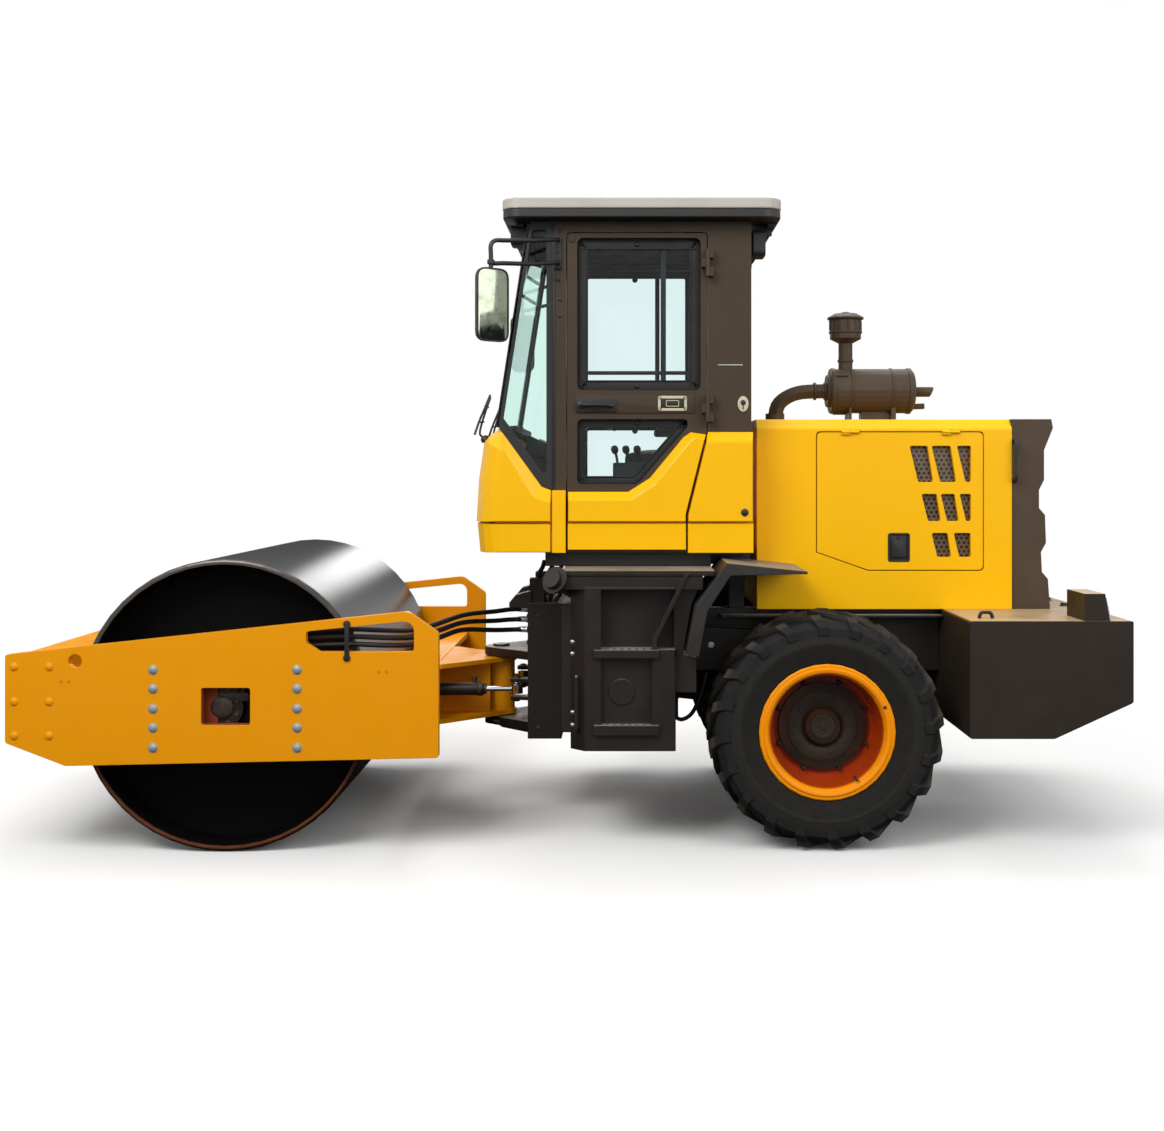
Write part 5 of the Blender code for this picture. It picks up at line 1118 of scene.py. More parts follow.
@dataclass(frozen=True)
class CabDoorTrim:
    """What sits on a cab door: seals, glass knobs, latch rail, handle, lock and the inside grab bar.

    Attributes:
        face: Distance of the door frame's outer face from the middle.
        glass: Distance of the glass's outer face from the middle.
        upper: Lower front and upper rear corner of the upper window.
        lower: Corners of the lower window.
        seal: Width of the black border on the left and on the right door.
        knobs: X and Z of the fixings through the glass.
        handle: Two opposite corners of the handle's plate.
        lock: The same of the lock plate.
    """

    face: float = 0.6897
    glass: float = 0.6472
    upper: Box = (0.0135, 2.2415, 0.6355, 3.0095)
    lower: tuple[Point, ...] = ((0.0135, 1.7685), (0.3178, 1.7685), (0.5695, 2.0582), (0.5695, 2.0955),
                                (0.0135, 2.0955))
    seal: Pair = (0.047, 0.014)
    knobs: tuple[Point, ...] = ((0.3145, 2.982), (0.3145, 2.264), (0.3145, 2.076))
    handle: Box = (0.002, 2.132, 0.214, 2.203)
    lock: Box = (0.420, 2.137, 0.566, 2.213)

    def seals(self, side: Side, body: Body) -> None:
        """Build the rubber seals of both windows and the glass's black border."""
        form = Form("door_seals_" + side.word, SEAL_RUBBER)
        low, high = side.sign * self.glass, side.sign * (self.glass + 0.008)
        proud = side.sign * (self.glass + 0.014)
        width = self.seal[0 if side is Side.LEFT else 1]
        for outline, share in ((square(*self.upper, 0.030), 1.0), (rounded(self.lower, 0.030), 0.75)):
            form.rim(outline, width * share, Plane.SIDE, low, high)
            form.rim(inset(outline, width * share), 0.006, Plane.SIDE, low, proud)
        for x, z in self.knobs:
            form.dome((x, side.sign * (self.glass + 0.0005), z), (0, side.sign, 0), 0.017, 0.016)
        form.done(body)

    def fittings(self, side: Side, body: Body) -> None:
        """Build the latch rail, the handle and the lock plate."""
        sign = side.sign
        rail = Form("door_rail_" + side.word, BROWN_ENAMEL, Slot.BROWN)
        rail.panel(square(0.006, 2.126, 0.602, 2.218, 0.006), side, self.face - 0.001, self.face + 0.006, 0.003)
        rail.panel(square(-0.028, 2.988, 0.002, 3.022, 0.006), side, self.face - 0.001, self.face + 0.005, 0.002)
        rail.done(body)
        x_low, z_low, x_high, z_high = self.handle
        grip = Form("door_handle_" + side.word, BLACK_PLASTIC)
        face = self.face + 0.0055
        grip.panel(square(x_low, z_low, x_high, z_high, 0.016), side, face, face + 0.006, 0.0025)
        middle = (z_low + z_high) / 2
        points = [(x_low + 0.030, sign * (face + 0.004), middle), (x_low + 0.042, sign * (face + 0.022), middle),
                  (x_low + 0.075, sign * (face + 0.028), middle), (x_high - 0.060, sign * (face + 0.028), middle),
                  (x_high - 0.030, sign * (face + 0.020), middle - 0.004),
                  (x_high - 0.022, sign * (face + 0.014), middle - 0.010)]
        grip.tube(smooth_route(points, 4), 0.0095, 10)
        grip.turned((x_low + 0.030, sign * (face + 0.003), middle), (0, sign, 0),
                    ((0.018, 0), (0.018, 0.010), (0.012, 0.014), (0, 0.014)), 18)
        grip.done(body, 50)
        x_low, z_low, x_high, z_high = self.lock
        plate = Form("door_lock_" + side.word, CREAM_PLASTIC)
        plate.rim(square(x_low, z_low, x_high, z_high, 0.012), 0.014, Plane.SIDE, sign * face,
                  sign * (face + 0.007), 0.002)
        plate.rim(square(x_low + 0.040, z_low + 0.022, x_high - 0.040, z_high - 0.022, 0.006), 0.004, Plane.SIDE,
                  sign * face, sign * (face + 0.008), 0.001)
        plate.done(body)
        well = Form("door_lock_well_" + side.word, BLACK_PLASTIC)
        for along, up, corner, proud, edge in ((0.010, 0.010, 0.006, 0.0035, 0.001),
                                               (0.048, 0.030, 0.004, 0.009, 0.002)):
            outline = square(x_low + along, z_low + up, x_high - along, z_high - up, corner)
            well.panel(outline, side, face, face + proud, edge)
        well.done(body)

    def bars(self, side: Side, body: Body) -> None:
        """Build the grab bar and the sliding window's stile on the inside."""
        form = Form("door_bars_" + side.word, BLACK_PLASTIC)
        bend = ((-0.005, 0.6385), (-0.001, 0.626), (0.03375, 0.618), (0.3225, 0.618), (0.61125, 0.618),
                (0.646, 0.626), (0.650, 0.6385))
        form.tube(smooth_route([(x, side.sign * y, 2.334) for x, y in bend], 4), 0.010, 8)
        form.panel(square(0.435, 2.262, 0.462, 2.992, 0.004), side, 0.6385, 0.626, 0.002)
        form.done(body, 50)

    def build(self) -> None:
        """Dress both doors."""
        for side, body in ((Side.LEFT, Body.CAB_DOOR_LEFT), (Side.RIGHT, Body.CAB_DOOR_RIGHT)):
            self.seals(side, body)
            self.fittings(side, body)
            self.bars(side, body)


@dataclass(frozen=True)
class CabShellTrim:
    """What is fixed to the cab's shell: pillar bolts, slots, locks, windshield seals and wipers.

    Attributes:
        face: Distance of the pillars' outer faces from the middle.
        skin: Distance of the skirt's outer face from the middle.
        top: X and Z of the windshield's upper edge.
        foot: X and Z of its lower edge.
        glass: Thickness of the windshield.
        bolt_x: X of the bolts on the front pillars.
        bolt_z: Their heights.
    """

    face: float = 0.6897
    skin: float = 0.732
    top: Pair = (-0.223, 3.0945)
    foot: Pair = (-0.383, 2.056)
    glass: float = 0.0086
    bolt_x: float = -0.0735
    bolt_z: tuple[float, ...] = (3.045, 2.700, 2.616)

    def pane_point(self, share: float, proud: float) -> Pair:
        """Return X and Z of a point on the windshield's outer face, from its foot (0) to its top (1)."""
        x = self.foot[0] + (self.top[0] - self.foot[0]) * share - (self.glass + proud) * 1.012
        z = self.foot[1] + (self.top[1] - self.foot[1]) * share
        return x, z

    def windshield(self) -> None:
        """Build the seal round the windshield and the two wipers."""
        seal = Form("windshield_seal", SEAL_RUBBER)
        for sign in (-1, 1):
            for width, inside in ((0.024, 0.0), (0.010, 0.052)):
                low = [self.pane_point(0.003, 0.0003), self.pane_point(0.997, 0.0003)]
                high = [self.pane_point(0.997, 0.006), self.pane_point(0.003, 0.006)]
                outer = self.face - inside
                seal.slab(low + high, Plane.SIDE, sign * outer, sign * (outer - width), 0.001)
        for low, high in ((0.003, 0.030), (0.968, 0.997)):
            strip = [self.pane_point(low, 0.0003), self.pane_point(high, 0.0003), self.pane_point(high, 0.005),
                     self.pane_point(low, 0.005)]
            seal.slab(strip, Plane.SIDE, -0.660, 0.660, 0.001)
        seal.done(Body.REAR)
        wiper = Form("wipers", BLACK_PLASTIC)
        for y in (-0.600, 0.120):
            wiper.turned((-0.455, y, 1.990), (-0.60, 0, 0.80),
                         ((0.022, 0), (0.022, 0.016), (0.014, 0.026), (0, 0.028)), 16)
            arm = [(-0.470, y, 2.006), (-0.487, y, 2.030), (-0.468, y + 0.010, 2.110), (-0.434, y + 0.020, 2.213)]
            wiper.tube(smooth_route(arm, 4), 0.0055, 8)
            blade = [(-0.508, y - 0.050, 2.020), (-0.487, y - 0.020, 2.090), (-0.462, y + 0.020, 2.160),
                     (-0.440, y + 0.060, 2.225)]
            wiper.tube(smooth_route(blade, 4), 0.0060, 8)
            for share in (0.25, 0.75):
                x = -0.498 + 0.048 * share
                z = 2.045 + 0.150 * share
                wiper.rod((x, y - 0.030 + 0.07 * share, z), (x + 0.020, y + 0.012, z + 0.004), 0.004, 8, 0.001)
        wiper.done(Body.REAR, 50)

    def pillars(self) -> None:
        """Build the bolts, the drain slot, the rear lock and the strip beside the door."""
        for side in Side:
            sign = side.sign
            out = (0, sign, 0)
            bolts = Form("pillar_bolts_" + side.word, DARK_STEEL, Slot.DARK)
            for z in self.bolt_z:
                bolts.dome((self.bolt_x, sign * (self.face - 0.0005), z), out, 0.011, 0.006)
            bolts.done(Body.REAR)
            slot = Form("pillar_slot_" + side.word, ZINC, Slot.CHROME)
            slot.panel(square(0.722, 2.366, 0.846, 2.372, 0.002), side, self.face - 0.001, self.face + 0.003, 0.001)
            slot.done(Body.REAR)
            lock = Form("pillar_lock_" + side.word, CREAM_PLASTIC)
            outline = [(0.849 + 0.028 * cos(angle), 2.173 + 0.040 * sin(angle))
                       for angle in (tau * place / 16 for place in range(16))]
            lock.panel(outline, side, self.face - 0.001, self.face + 0.006, 0.002)
            lock.done(Body.REAR)
            dots = Form("pillar_key_" + side.word, BLACK_PLASTIC)
            dots.turned((0.849, sign * (self.face + 0.0055), 2.180), out,
                        ((0.013, 0), (0.013, 0.004), (0.008, 0.006), (0, 0.006)), 16)
            dots.panel(square(0.8465, 2.146, 0.8515, 2.168, 0.001), side, self.face + 0.0055, self.face + 0.008,
                       0.0008)
            dots.turned((0.854, sign * (self.skin - 0.001), 1.628), out,
                        ((0.019, 0), (0.019, 0.005), (0.013, 0.009), (0, 0.009)), 18)
            dots.panel(square(-0.1115, 1.742, -0.098, 3.080), side, self.face - 0.0005, self.face + 0.004, 0.0015)
            dots.done(Body.REAR)

    def build(self) -> None:
        """Dress the cab's shell."""
        self.windshield()
        self.pillars()


@dataclass(frozen=True)
class CabInterior:
    """Seat with its cushions, console with dials and levers, pedals, mat and roof lining.

    Attributes:
        cushion: Middle and half sizes of the seat cushion.
        back: Middle and half sizes of the back cushion.
        back_lean: Lean of the back in degrees.
        floor: Height of the cab's floor.
    """

    cushion: tuple[Point, Point] = ((0.480, 0.0, 1.893), (0.228, 0.243, 0.060))
    back: tuple[Point, Point] = ((0.712, 0.0, 2.160), (0.048, 0.228, 0.236))
    back_lean: float = 8.5
    floor: float = 1.4605

    def pad(self, name: str, shape: tuple[Point, Point], crown: int, matrix: Matrix,
            channels: Sequence[float]) -> bpy.types.Object:
        """Build one crowned cushion with sewn channels.

        Args:
            name: The piece's name.
            shape: Middle and half sizes.
            crown: The axis that the crown stands up on.
            matrix: Turns the cushion about its middle.
            channels: Places of the seams, from -1 to 1 across.

        Returns:
            The cushion.
        """
        middle, half = shape
        form = Form(name, SEAT_VINYL, Slot.VINYL)
        bmesh.ops.create_cube(form.work, size=2.0)
        bmesh.ops.subdivide_edges(form.work, edges=form.work.edges[:], cuts=15, use_grid_fill=True)
        flat_axes = [axis for axis in range(3) if axis != crown]
        for vert in form.work.verts:
            u, v = (vert.co[axis] for axis in flat_axes)
            w = vert.co[crown]
            # Fullest in the middle, flat towards the edges, and drawn in along the seams
            swell = 0.60 + 0.40 * (1 - abs(u) ** 3.5) * (1 - abs(v) ** 3.5)
            seam = sum(exp(-((v - place) / 0.045) ** 2) for place in channels) * (1 - abs(u) ** 8)
            point = Vector((0, 0, 0))
            point[flat_axes[0]] = u * half[flat_axes[0]] * (1 - 0.05 * (1 - v * v) - 0.03 * w * w)
            point[flat_axes[1]] = v * half[flat_axes[1]] * (1 - 0.04 * (1 - u * u) - 0.03 * w * w)
            point[crown] = w * half[crown] * (swell - 0.12 * seam)
            vert.co = Vector(middle) + matrix @ point
        piece = form.done(Body.REAR, 80)
        smooth = piece.modifiers.new("Subdivision", "SUBSURF")
        smooth.levels = 1
        smooth.render_levels = 1
        return piece

    def seat(self) -> None:
        """Build the cushions, the sprung pedestal, the armrests and the plate on the back."""
        still = Matrix.Identity(3)
        lean = Matrix.Rotation(radians(self.back_lean), 3, "Y")
        cushion = self.pad("seat_cushion", self.cushion, 2, still, (-0.45, 0.45))
        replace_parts(cushion, "seat")
        self.pad("seat_back", self.back, 0, lean, (-0.45, 0.45))
        base = Form("seat_base", BLACK_PLASTIC)
        base.slab(square(0.290, -0.205, 0.700, 0.205, 0.03), Plane.PLAN, 1.800, 1.832, 0.006)
        for low, high, shrink in ((1.462, 1.500, 0.0), (1.500, 1.560, 0.025), (1.560, 1.620, 0.010),
                                  (1.620, 1.680, 0.025), (1.680, 1.740, 0.010), (1.740, 1.802, 0.025)):
            base.slab(square(0.335 + shrink, -0.175 + shrink, 0.640 - shrink, 0.175 - shrink, 0.04), Plane.PLAN,
                      low, high, 0.010)
        for side in Side:
            base.panel(square(0.420, 2.030, 0.690, 2.072, 0.018), side, 0.262, 0.300, 0.008)
            base.rod((0.680, side.sign * 0.281, 2.05), (0.700, side.sign * 0.235, 2.05), 0.014)
        base.slab(square(0.770, -0.190, 0.786, 0.190, 0.02), Plane.PLAN, 2.180, 2.330, 0.006)
        base.done(Body.REAR)

    def controls(self) -> None:
        """Build the dials, levers, pedals, mat and the lining with its lamp."""
        dash = Form("dash_panel", BLACK_PLASTIC)
        dash.slab([(-0.430, 2.020), (-0.300, 2.030), (-0.300, 2.070), (-0.372, 2.062)], Plane.SIDE, -0.560, 0.560,
                  0.008)
        dash.slab([(-0.296, 1.905), (-0.070, 1.905), (-0.086, 1.940), (-0.270, 2.030)], Plane.SIDE, -0.185, 0.185,
                  0.006)
        y = -0.285
        for x in (0.215, 0.275, 0.335):
            dash.tube(smooth_route([(x, y, 1.87), (x - 0.004, y, 1.90), (x - 0.010, y, 1.93)], 4), 0.007, 8)
            dash.turned((x - 0.011, y, 1.925), (-0.2, 0, 1), ((0.008, 0), (0.018, 0.012), (0.021, 0.028),
                                                             (0.014, 0.044), (0, 0.048)), 14)
        dash.slab(square(0.190, -0.325, 0.560, -0.245, 0.015), Plane.PLAN, 1.462, 1.880, 0.010)
        dash.done(Body.REAR)
        dials = Form("dash_dials", LENS_CLEAR, Slot.GLASS)
        normal = Vector((0.09, 0, 0.184)).normalized()
        for y in (-0.110, 0.0, 0.110):
            at = Vector((-0.178, y, 1.986))
            dials.turned(at, normal, ((0.038, 0), (0.042, 0.003), (0.042, 0.008), (0.037, 0.010), (0.035, 0.006),
                                      (0, 0.006)), 22)
        dials.done(Body.REAR)
        pedals = Form("pedals", DARK_STEEL, Slot.CASTING)
        for y in (-0.300, 0.260, 0.340):
            pedals.slab([(-0.235, 1.530), (-0.215, 1.515), (-0.150, 1.620), (-0.170, 1.635)], Plane.SIDE, y - 0.035,
                        y + 0.035, 0.004)
            pedals.rod((-0.215, y, 1.530), (-0.255, y, 1.4615), 0.010)
        pedals.done(Body.REAR)
        mat = Form("floor_mat", SEAL_RUBBER)
        mat.slab(square(-0.090, -0.600, 0.820, 0.600, 0.04), Plane.PLAN, self.floor, self.floor + 0.006, 0.002)
        for y in (-0.56, -0.50, -0.44, -0.38, 0.38, 0.44, 0.50, 0.56):
            mat.slab(square(-0.060, y - 0.008, 0.180, y + 0.008, 0.004), Plane.PLAN, self.floor + 0.0055,
                     self.floor + 0.010, 0.002)
        mat.done(Body.REAR)
        lining = Form("roof_lining", BLACK_PLASTIC)
        lining.slab(square(-0.100, -0.575, 0.780, 0.575, 0.05), Plane.PLAN, 3.066, 3.093, 0.008)
        lining.turned((0.30, 0.0, 3.068), (0, 0, -1), ((0.070, 0), (0.070, 0.012), (0.050, 0.022), (0, 0.024)), 22)
        lining.done(Body.REAR)

    def build(self) -> None:
        """Furnish the cab."""
        self.seat()
        self.controls()


@dataclass(frozen=True)
class RoofFittings:
    """Bezels and lenses of the work lamps, and the mirrors with their arms.

    Attributes:
        lamps: For each row, X of the lens face, its direction and the heights of the lamp's edges.
        lamp_y: Distance of the lamps' middles from the middle plane.
        mirror: Middle of the left mirror's head; the right one is its mirror image.
        mirror_turn: Turn of the heads in degrees.
        arms: Heights of both arms at the pillar and at the head.
    """

    lamps: tuple[tuple[float, int, float, float], ...] = ((-0.321, -1, 2.985, 3.085), (0.963, 1, 2.928, 3.062))
    lamp_y: float = 0.560
    mirror: Point = (-0.392, 1.000, 2.634)
    mirror_turn: float = 52.0
    arms: tuple[Pair, ...] = ((2.996, 2.948), (2.880, 2.837))

    def lenses(self) -> None:
        """Build the bezel and lens of each work lamp."""
        for number, (x, way, low, high) in enumerate(self.lamps):
            bezel = Form("lamp_bezels_%d" % number, BLACK_PLASTIC)
            lens = Form("lamp_lenses_%d" % number, LENS_CLEAR, Slot.GLASS)
            for sign in (-1, 1):
                middle = sign * self.lamp_y
                bezel.rim(square(middle - 0.072, low + 0.003, middle + 0.072, high - 0.003, 0.022), 0.009,
                          Plane.FRONT, x - way * 0.001, x + way * 0.006, 0.0015)
                lens.slab(square(middle - 0.062, low + 0.013, middle + 0.062, high - 0.013, 0.016), Plane.FRONT,
                          x - way * 0.001, x + way * 0.004, 0.0015)
                for step in (-0.03, 0.0, 0.03):
                    rib = square(middle + step - 0.002, low + 0.018, middle + step + 0.002, high - 0.018)
                    lens.slab(rib, Plane.FRONT, x + way * 0.003, x + way * 0.0055, 0.0008)
            bezel.done(Body.REAR)
            lens.done(Body.REAR)

    def mirrors(self) -> None:
        """Build both mirrors: domed case, glass, rim, and the arm that bends down to the head."""
        x, y, z = self.mirror
        for side in Side:
            turn = Matrix.Rotation(side.sign * radians(self.mirror_turn), 4, "Z")
            across = side.sign * y
            place = Matrix.Translation((x, across, z)) @ turn
            case = Form("mirror_case_" + side.word, BLACK_PLASTIC)
            loops = ((-0.036, 0.045), (-0.030, 0.028), (-0.016, 0.010), (0.000, 0.002), (0.016, 0.0))
            outline = square(-0.090, -0.178, 0.090, 0.178, 0.050)
            points = [(depth, *point) for depth, margin in loops for point in inset(outline, margin)]
            count = len(outline)
            back = tuple(range(len(points) - 1, len(points) - count - 1, -1))
            faces: list[Sequence[int]] = [tuple(range(count)), back]
            for ring in range(len(loops) - 1):
                low = ring * count
                faces += [(low + k, low + (k + 1) % count, low + count + (k + 1) % count, low + count + k)
                          for k in range(count)]
            case.add(points, faces)
            case.rim(outline, 0.007, Plane.FRONT, 0.0155, 0.0225, 0.002)
            case.work.transform(place)
            inner = side.sign * 0.6900
            for start_z, end_z in self.arms:
                route = [(-0.085, inner, start_z), (-0.090, side.sign * 0.725, start_z),
                         (-0.200, side.sign * 0.828, start_z - 0.022), (-0.330, side.sign * 0.950, end_z + 0.006),
                         (x + 0.020, side.sign * (y - 0.016), end_z)]
                if end_z == self.arms[0][1]:
                    route += [(x, across, end_z - 0.025), (x, across, end_z - 0.080), (x, across, z + 0.120),
                              (x, across, z + 0.020)]
                else:
                    route += [(x + 0.004, side.sign * (y - 0.003), end_z - 0.002)]
                case.tube(smooth_route(route, 4), 0.011, 10)
            case.panel(square(-0.105, 2.850, -0.065, 3.020, 0.010), side, 0.6902, 0.7020, 0.003)
            for low in (2.862, 3.000):
                case.bolt((-0.085, side.sign * 0.7015, low - 0.06), (0, side.sign, 0), 0.008, low * 100)
            case.turned((x, across, z + 0.195), (0, 0, 1),
                        ((0.0112, 0), (0.018, 0.003), (0.018, 0.023), (0.0112, 0.026)), 14, ring=True)
            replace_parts(case.done(Body.REAR, 40), "mirror_" + side.word)
            glass = Form("mirror_glass_" + side.word, MIRROR_GLASS, Slot.GLASS)
            glass.slab(square(-0.0828, -0.1708, 0.0828, 0.1708, 0.045), Plane.FRONT, 0.0158, 0.0190, 0.0008)
            glass.work.transform(place)
            glass.done(Body.REAR)

    def build(self) -> None:
        """Dress the roof's lamps and the mirrors."""
        self.lenses()
        self.mirrors()


# Hood, tanks, wheels and counterweight


@dataclass(frozen=True)
class HoodTrim:
    """Vent screens, latch paddles, the rear grille's bars and the grab handle.

    Attributes:
        half: Distance of the hood's side from the middle.
        wall: Thickness of a side door.
        screen: Two opposite corners of the screen behind the vents.
        latch: The same of the latch's recess.
        grille: Half the width of the rear opening, and the heights of its lower and upper edge.
        grille_x: X of the opening's bottom.
    """

    half: float = 0.500
    wall: float = 0.024
    screen: Box = (1.700, 1.376, 2.070, 1.980)
    latch: Box = (1.6165, 1.3655, 1.7275, 1.5125)
    grille: tuple[float, float, float] = (0.416, 1.204, 2.016)
    grille_x: float = 2.342

    def doors(self) -> None:
        """Build the screens and latches on both side doors."""
        for side, body in ((Side.LEFT, Body.HOOD_DOOR_LEFT), (Side.RIGHT, Body.HOOD_DOOR_RIGHT)):
            sign = side.sign
            screen = Form("vent_screen_" + side.word, VENT_MESH, Slot.DARK)
            inner = self.half - self.wall
            screen.panel(square(*self.screen, 0.02), side, inner - 0.0005, inner - 0.005, 0.001)
            screen.done(body)
            x_low, z_low, x_high, z_high = self.latch
            well = Form("latch_well_" + side.word, BLACK_PLASTIC)
            base = self.half - 0.0118
            outline = square(x_low, z_low, x_high, z_high, 0.010)
            well.panel(outline, side, base, base + 0.004, 0.001)
            well.rim(outline, 0.007, Plane.SIDE, sign * base, sign * (self.half + 0.003), 0.0015)
            paddle = square(x_low + 0.020, z_low + 0.022, x_high - 0.020, z_high - 0.036, 0.008)
            well.panel(paddle, side, base + 0.003, self.half + 0.001, 0.003)
            well.turned(((x_low + x_high) / 2, sign * (base + 0.003), z_high - 0.020), (0, sign, 0),
                        ((0.009, 0), (0.009, 0.006), (0, 0.008)), 14)
            well.done(body)

    def rear(self) -> None:
        """Build the bars of the rear grille and the screen behind them."""
        wide, low, high = self.grille
        screen = Form("grille_screen", VENT_MESH, Slot.DARK)
        screen.slab(square(-wide + 0.004, low + 0.004, wide - 0.004, high - 0.004, 0.02), Plane.FRONT,
                    self.grille_x, self.grille_x + 0.006, 0.001)
        screen.done(Body.REAR)
        bars = Form("grille_bars", DARK_ENAMEL, Slot.DARK)
        count = 13
        for place in range(count):
            z = low + 0.035 + (high - low - 0.07) * place / (count - 1)
            x = self.grille_x + 0.012
            bars.slab([(x, z - 0.014), (x + 0.005, z - 0.014), (x + 0.034, z + 0.012), (x + 0.029, z + 0.014)],
                      Plane.SIDE, -wide + 0.001, wide - 0.001, 0.0015)
        for y in (-0.2, 0.2):
            bars.slab(square(y - 0.012, low + 0.001, y + 0.012, high - 0.001), Plane.FRONT, self.grille_x + 0.005,
                      self.grille_x + 0.018, 0.002)
        bars.done(Body.REAR)
        handle = Form("grille_handles", BLACK_PLASTIC)
        for sign in (-1, 1):
            y, out = sign * 0.4885, sign * 0.530
            points = [(2.271, y, 1.789), (2.271, sign * 0.515, 1.789), (2.271, out, 1.806), (2.271, out, 1.893),
                      (2.271, out, 1.978), (2.271, sign * 0.515, 1.996), (2.271, y, 1.996)]
            handle.tube(smooth_route(points, 4), 0.009, 8)
            for z in (1.789, 1.996):
                handle.turned((2.271, sign * 0.4875, z), (0, sign, 0),
                              ((0.018, 0), (0.018, 0.004), (0.010, 0.008)), 14)
        handle.done(Body.REAR, 50)

    def air(self) -> None:
        """Build the bands, clips and cap ribs of the air cleaner."""
        bands = Form("air_cleaner_bands", AIR_ENAMEL, Slot.DARK)
        y, z, radius = -0.200, 2.2657, 0.1197
        for x, width in ((1.362, 0.020), (1.460, 0.014), (1.676, 0.014), (1.768, 0.022)):
            bands.turned((x, y, z), (1, 0, 0), ((radius + 0.0003, 0), (radius + 0.004, 0.002),
                                               (radius + 0.004, width - 0.002), (radius + 0.0003, width)), 28,
                         ring=True)
        for angle in (20, 140, 260):
            a = radians(angle)
            at = Vector((1.372, y + (radius + 0.003) * cos(a), z + (radius + 0.003) * sin(a)))
            bands.turned(at, (1, 0, 0), ((0.008, 0), (0.008, 0.060), (0.004, 0.070)), 8)
        for x in (1.270, 1.325):
            bands.turned((x, y, z - 0.001), (1, 0, 0.01), ((0.0435, 0), (0.048, 0.002), (0.048, 0.012),
                                                         (0.0435, 0.014)), 22, ring=True)
        crown = z + 0.421
        for place in range(12):
            a = tau * place / 12
            foot = (1.443 + 0.0845 * cos(a), y + 0.0845 * sin(a), crown - 0.094)
            bands.rod(foot, (foot[0], foot[1], crown - 0.042), 0.004, 6, 0.001)
        bands.turned((1.443, y, crown - 0.0005), (0, 0, 1), ((0.030, 0), (0.014, 0.006), (0, 0.006)), 12)
        bands.turned((1.443, y, 2.420), (0, 0, 1),
                     ((0.0385, 0), (0.043, 0.002), (0.043, 0.014), (0.0385, 0.016)), 20, ring=True)
        bands.done(Body.REAR)

    def build(self) -> None:
        """Dress the hood."""
        self.doors()
        self.rear()
        self.air()


@dataclass(frozen=True)
class TankTrim:
    """Step treads, bolts, filler cap and hoses on the tanks and the frame beside them.

    Attributes:
        face: Distance of the tanks' outer faces from the middle.
        step_z: Top of each step.
        step_x: X range of the steps.
        bolt_z: Heights of the bolts on the flange before the tank.
        cap: Middle of the filler cap's outer face.
    """

    face: float = 1.000
    step_z: tuple[float, ...] = (0.973, 0.611)
    step_x: Pair = (0.150, 0.400)
    bolt_z: tuple[float, ...] = (1.012, 0.955, 0.673, 0.612)
    cap: Point = (-0.087, -1.020, 1.3115)

    def build(self) -> None:
        """Dress both tanks."""
        for side in Side:
            sign = side.sign
            treads = Form("step_treads_" + side.word, DARK_ENAMEL, Slot.DARK)
            for z in self.step_z:
                low, high = self.step_x
                for row in range(2):
                    for place in range(7):
                        x = low + (high - low) * (place + 0.5) / 7
                        y = sign * (self.face - 0.014 - 0.016 * row)
                        treads.turned((x, y, z - 0.001), (0, 0, 1), ((0.008, 0), (0.007, 0.004), (0.004, 0.004),
                                                                     (0.003, 0.001), (0, 0.001)), 10)
            treads.done(Body.REAR)
            bolts = Form("tank_bolts_" + side.word, ZINC, Slot.CHROME)
            for z in self.bolt_z:
                bolts.dome((0.0, sign * (self.face - 0.0005), z), (0, sign, 0), 0.010, 0.006)
            bolts.done(Body.REAR)
        cap = Form("filler_cap", BLACK_PLASTIC)
        foot, end = Vector((-0.030, -0.930, 1.270)), Vector(self.cap)
        axis = (end - foot).normalized()
        cap.turned(end - axis * 0.001, axis, ((0.030, 0), (0.034, 0.004), (0.030, 0.008), (0, 0.008)), 20)
        side_way = axis.orthogonal().normalized()
        up = axis.cross(side_way)
        for place in range(16):
            angle = tau * place / 16
            foot_point = end - axis * 0.030 + (side_way * cos(angle) + up * sin(angle)) * 0.0462
            cap.rod(foot_point, foot_point + axis * 0.026, 0.003, 6, 0.001)
        cap.done(Body.REAR)
        hoses = Form("brake_hoses", HOSE_RUBBER)
        loop = [(0.560, -0.345, 0.700), (0.520, -0.440, 0.640), (0.500, -0.520, 0.590), (0.540, -0.560, 0.560),
                (0.600, -0.540, 0.590), (0.650, -0.470, 0.680), (0.680, -0.430, 0.780)]
        hoses.tube(smooth_route(loop, 4), 0.011, 8)
        for y in (-0.428, 0.428):
            line = [(0.30, y, 1.02), (0.60, y, 1.03), (0.90, y, 1.02), (1.20, y, 1.035), (1.60, y, 1.02)]
            hoses.tube(smooth_route(line, 4), 0.008, 8)
        hoses.done(Body.REAR, 60)
        mounts = Form("frame_bolts", ZINC, Slot.CHROME)
        for sign in (-1, 1):
            for x, z in ((0.560, 0.870), (0.705, 0.925), (0.575, 0.790)):
                mounts.bolt((x, sign * 0.4195, z), (0, sign, 0), 0.013, x * 300)
        mounts.done(Body.REAR)


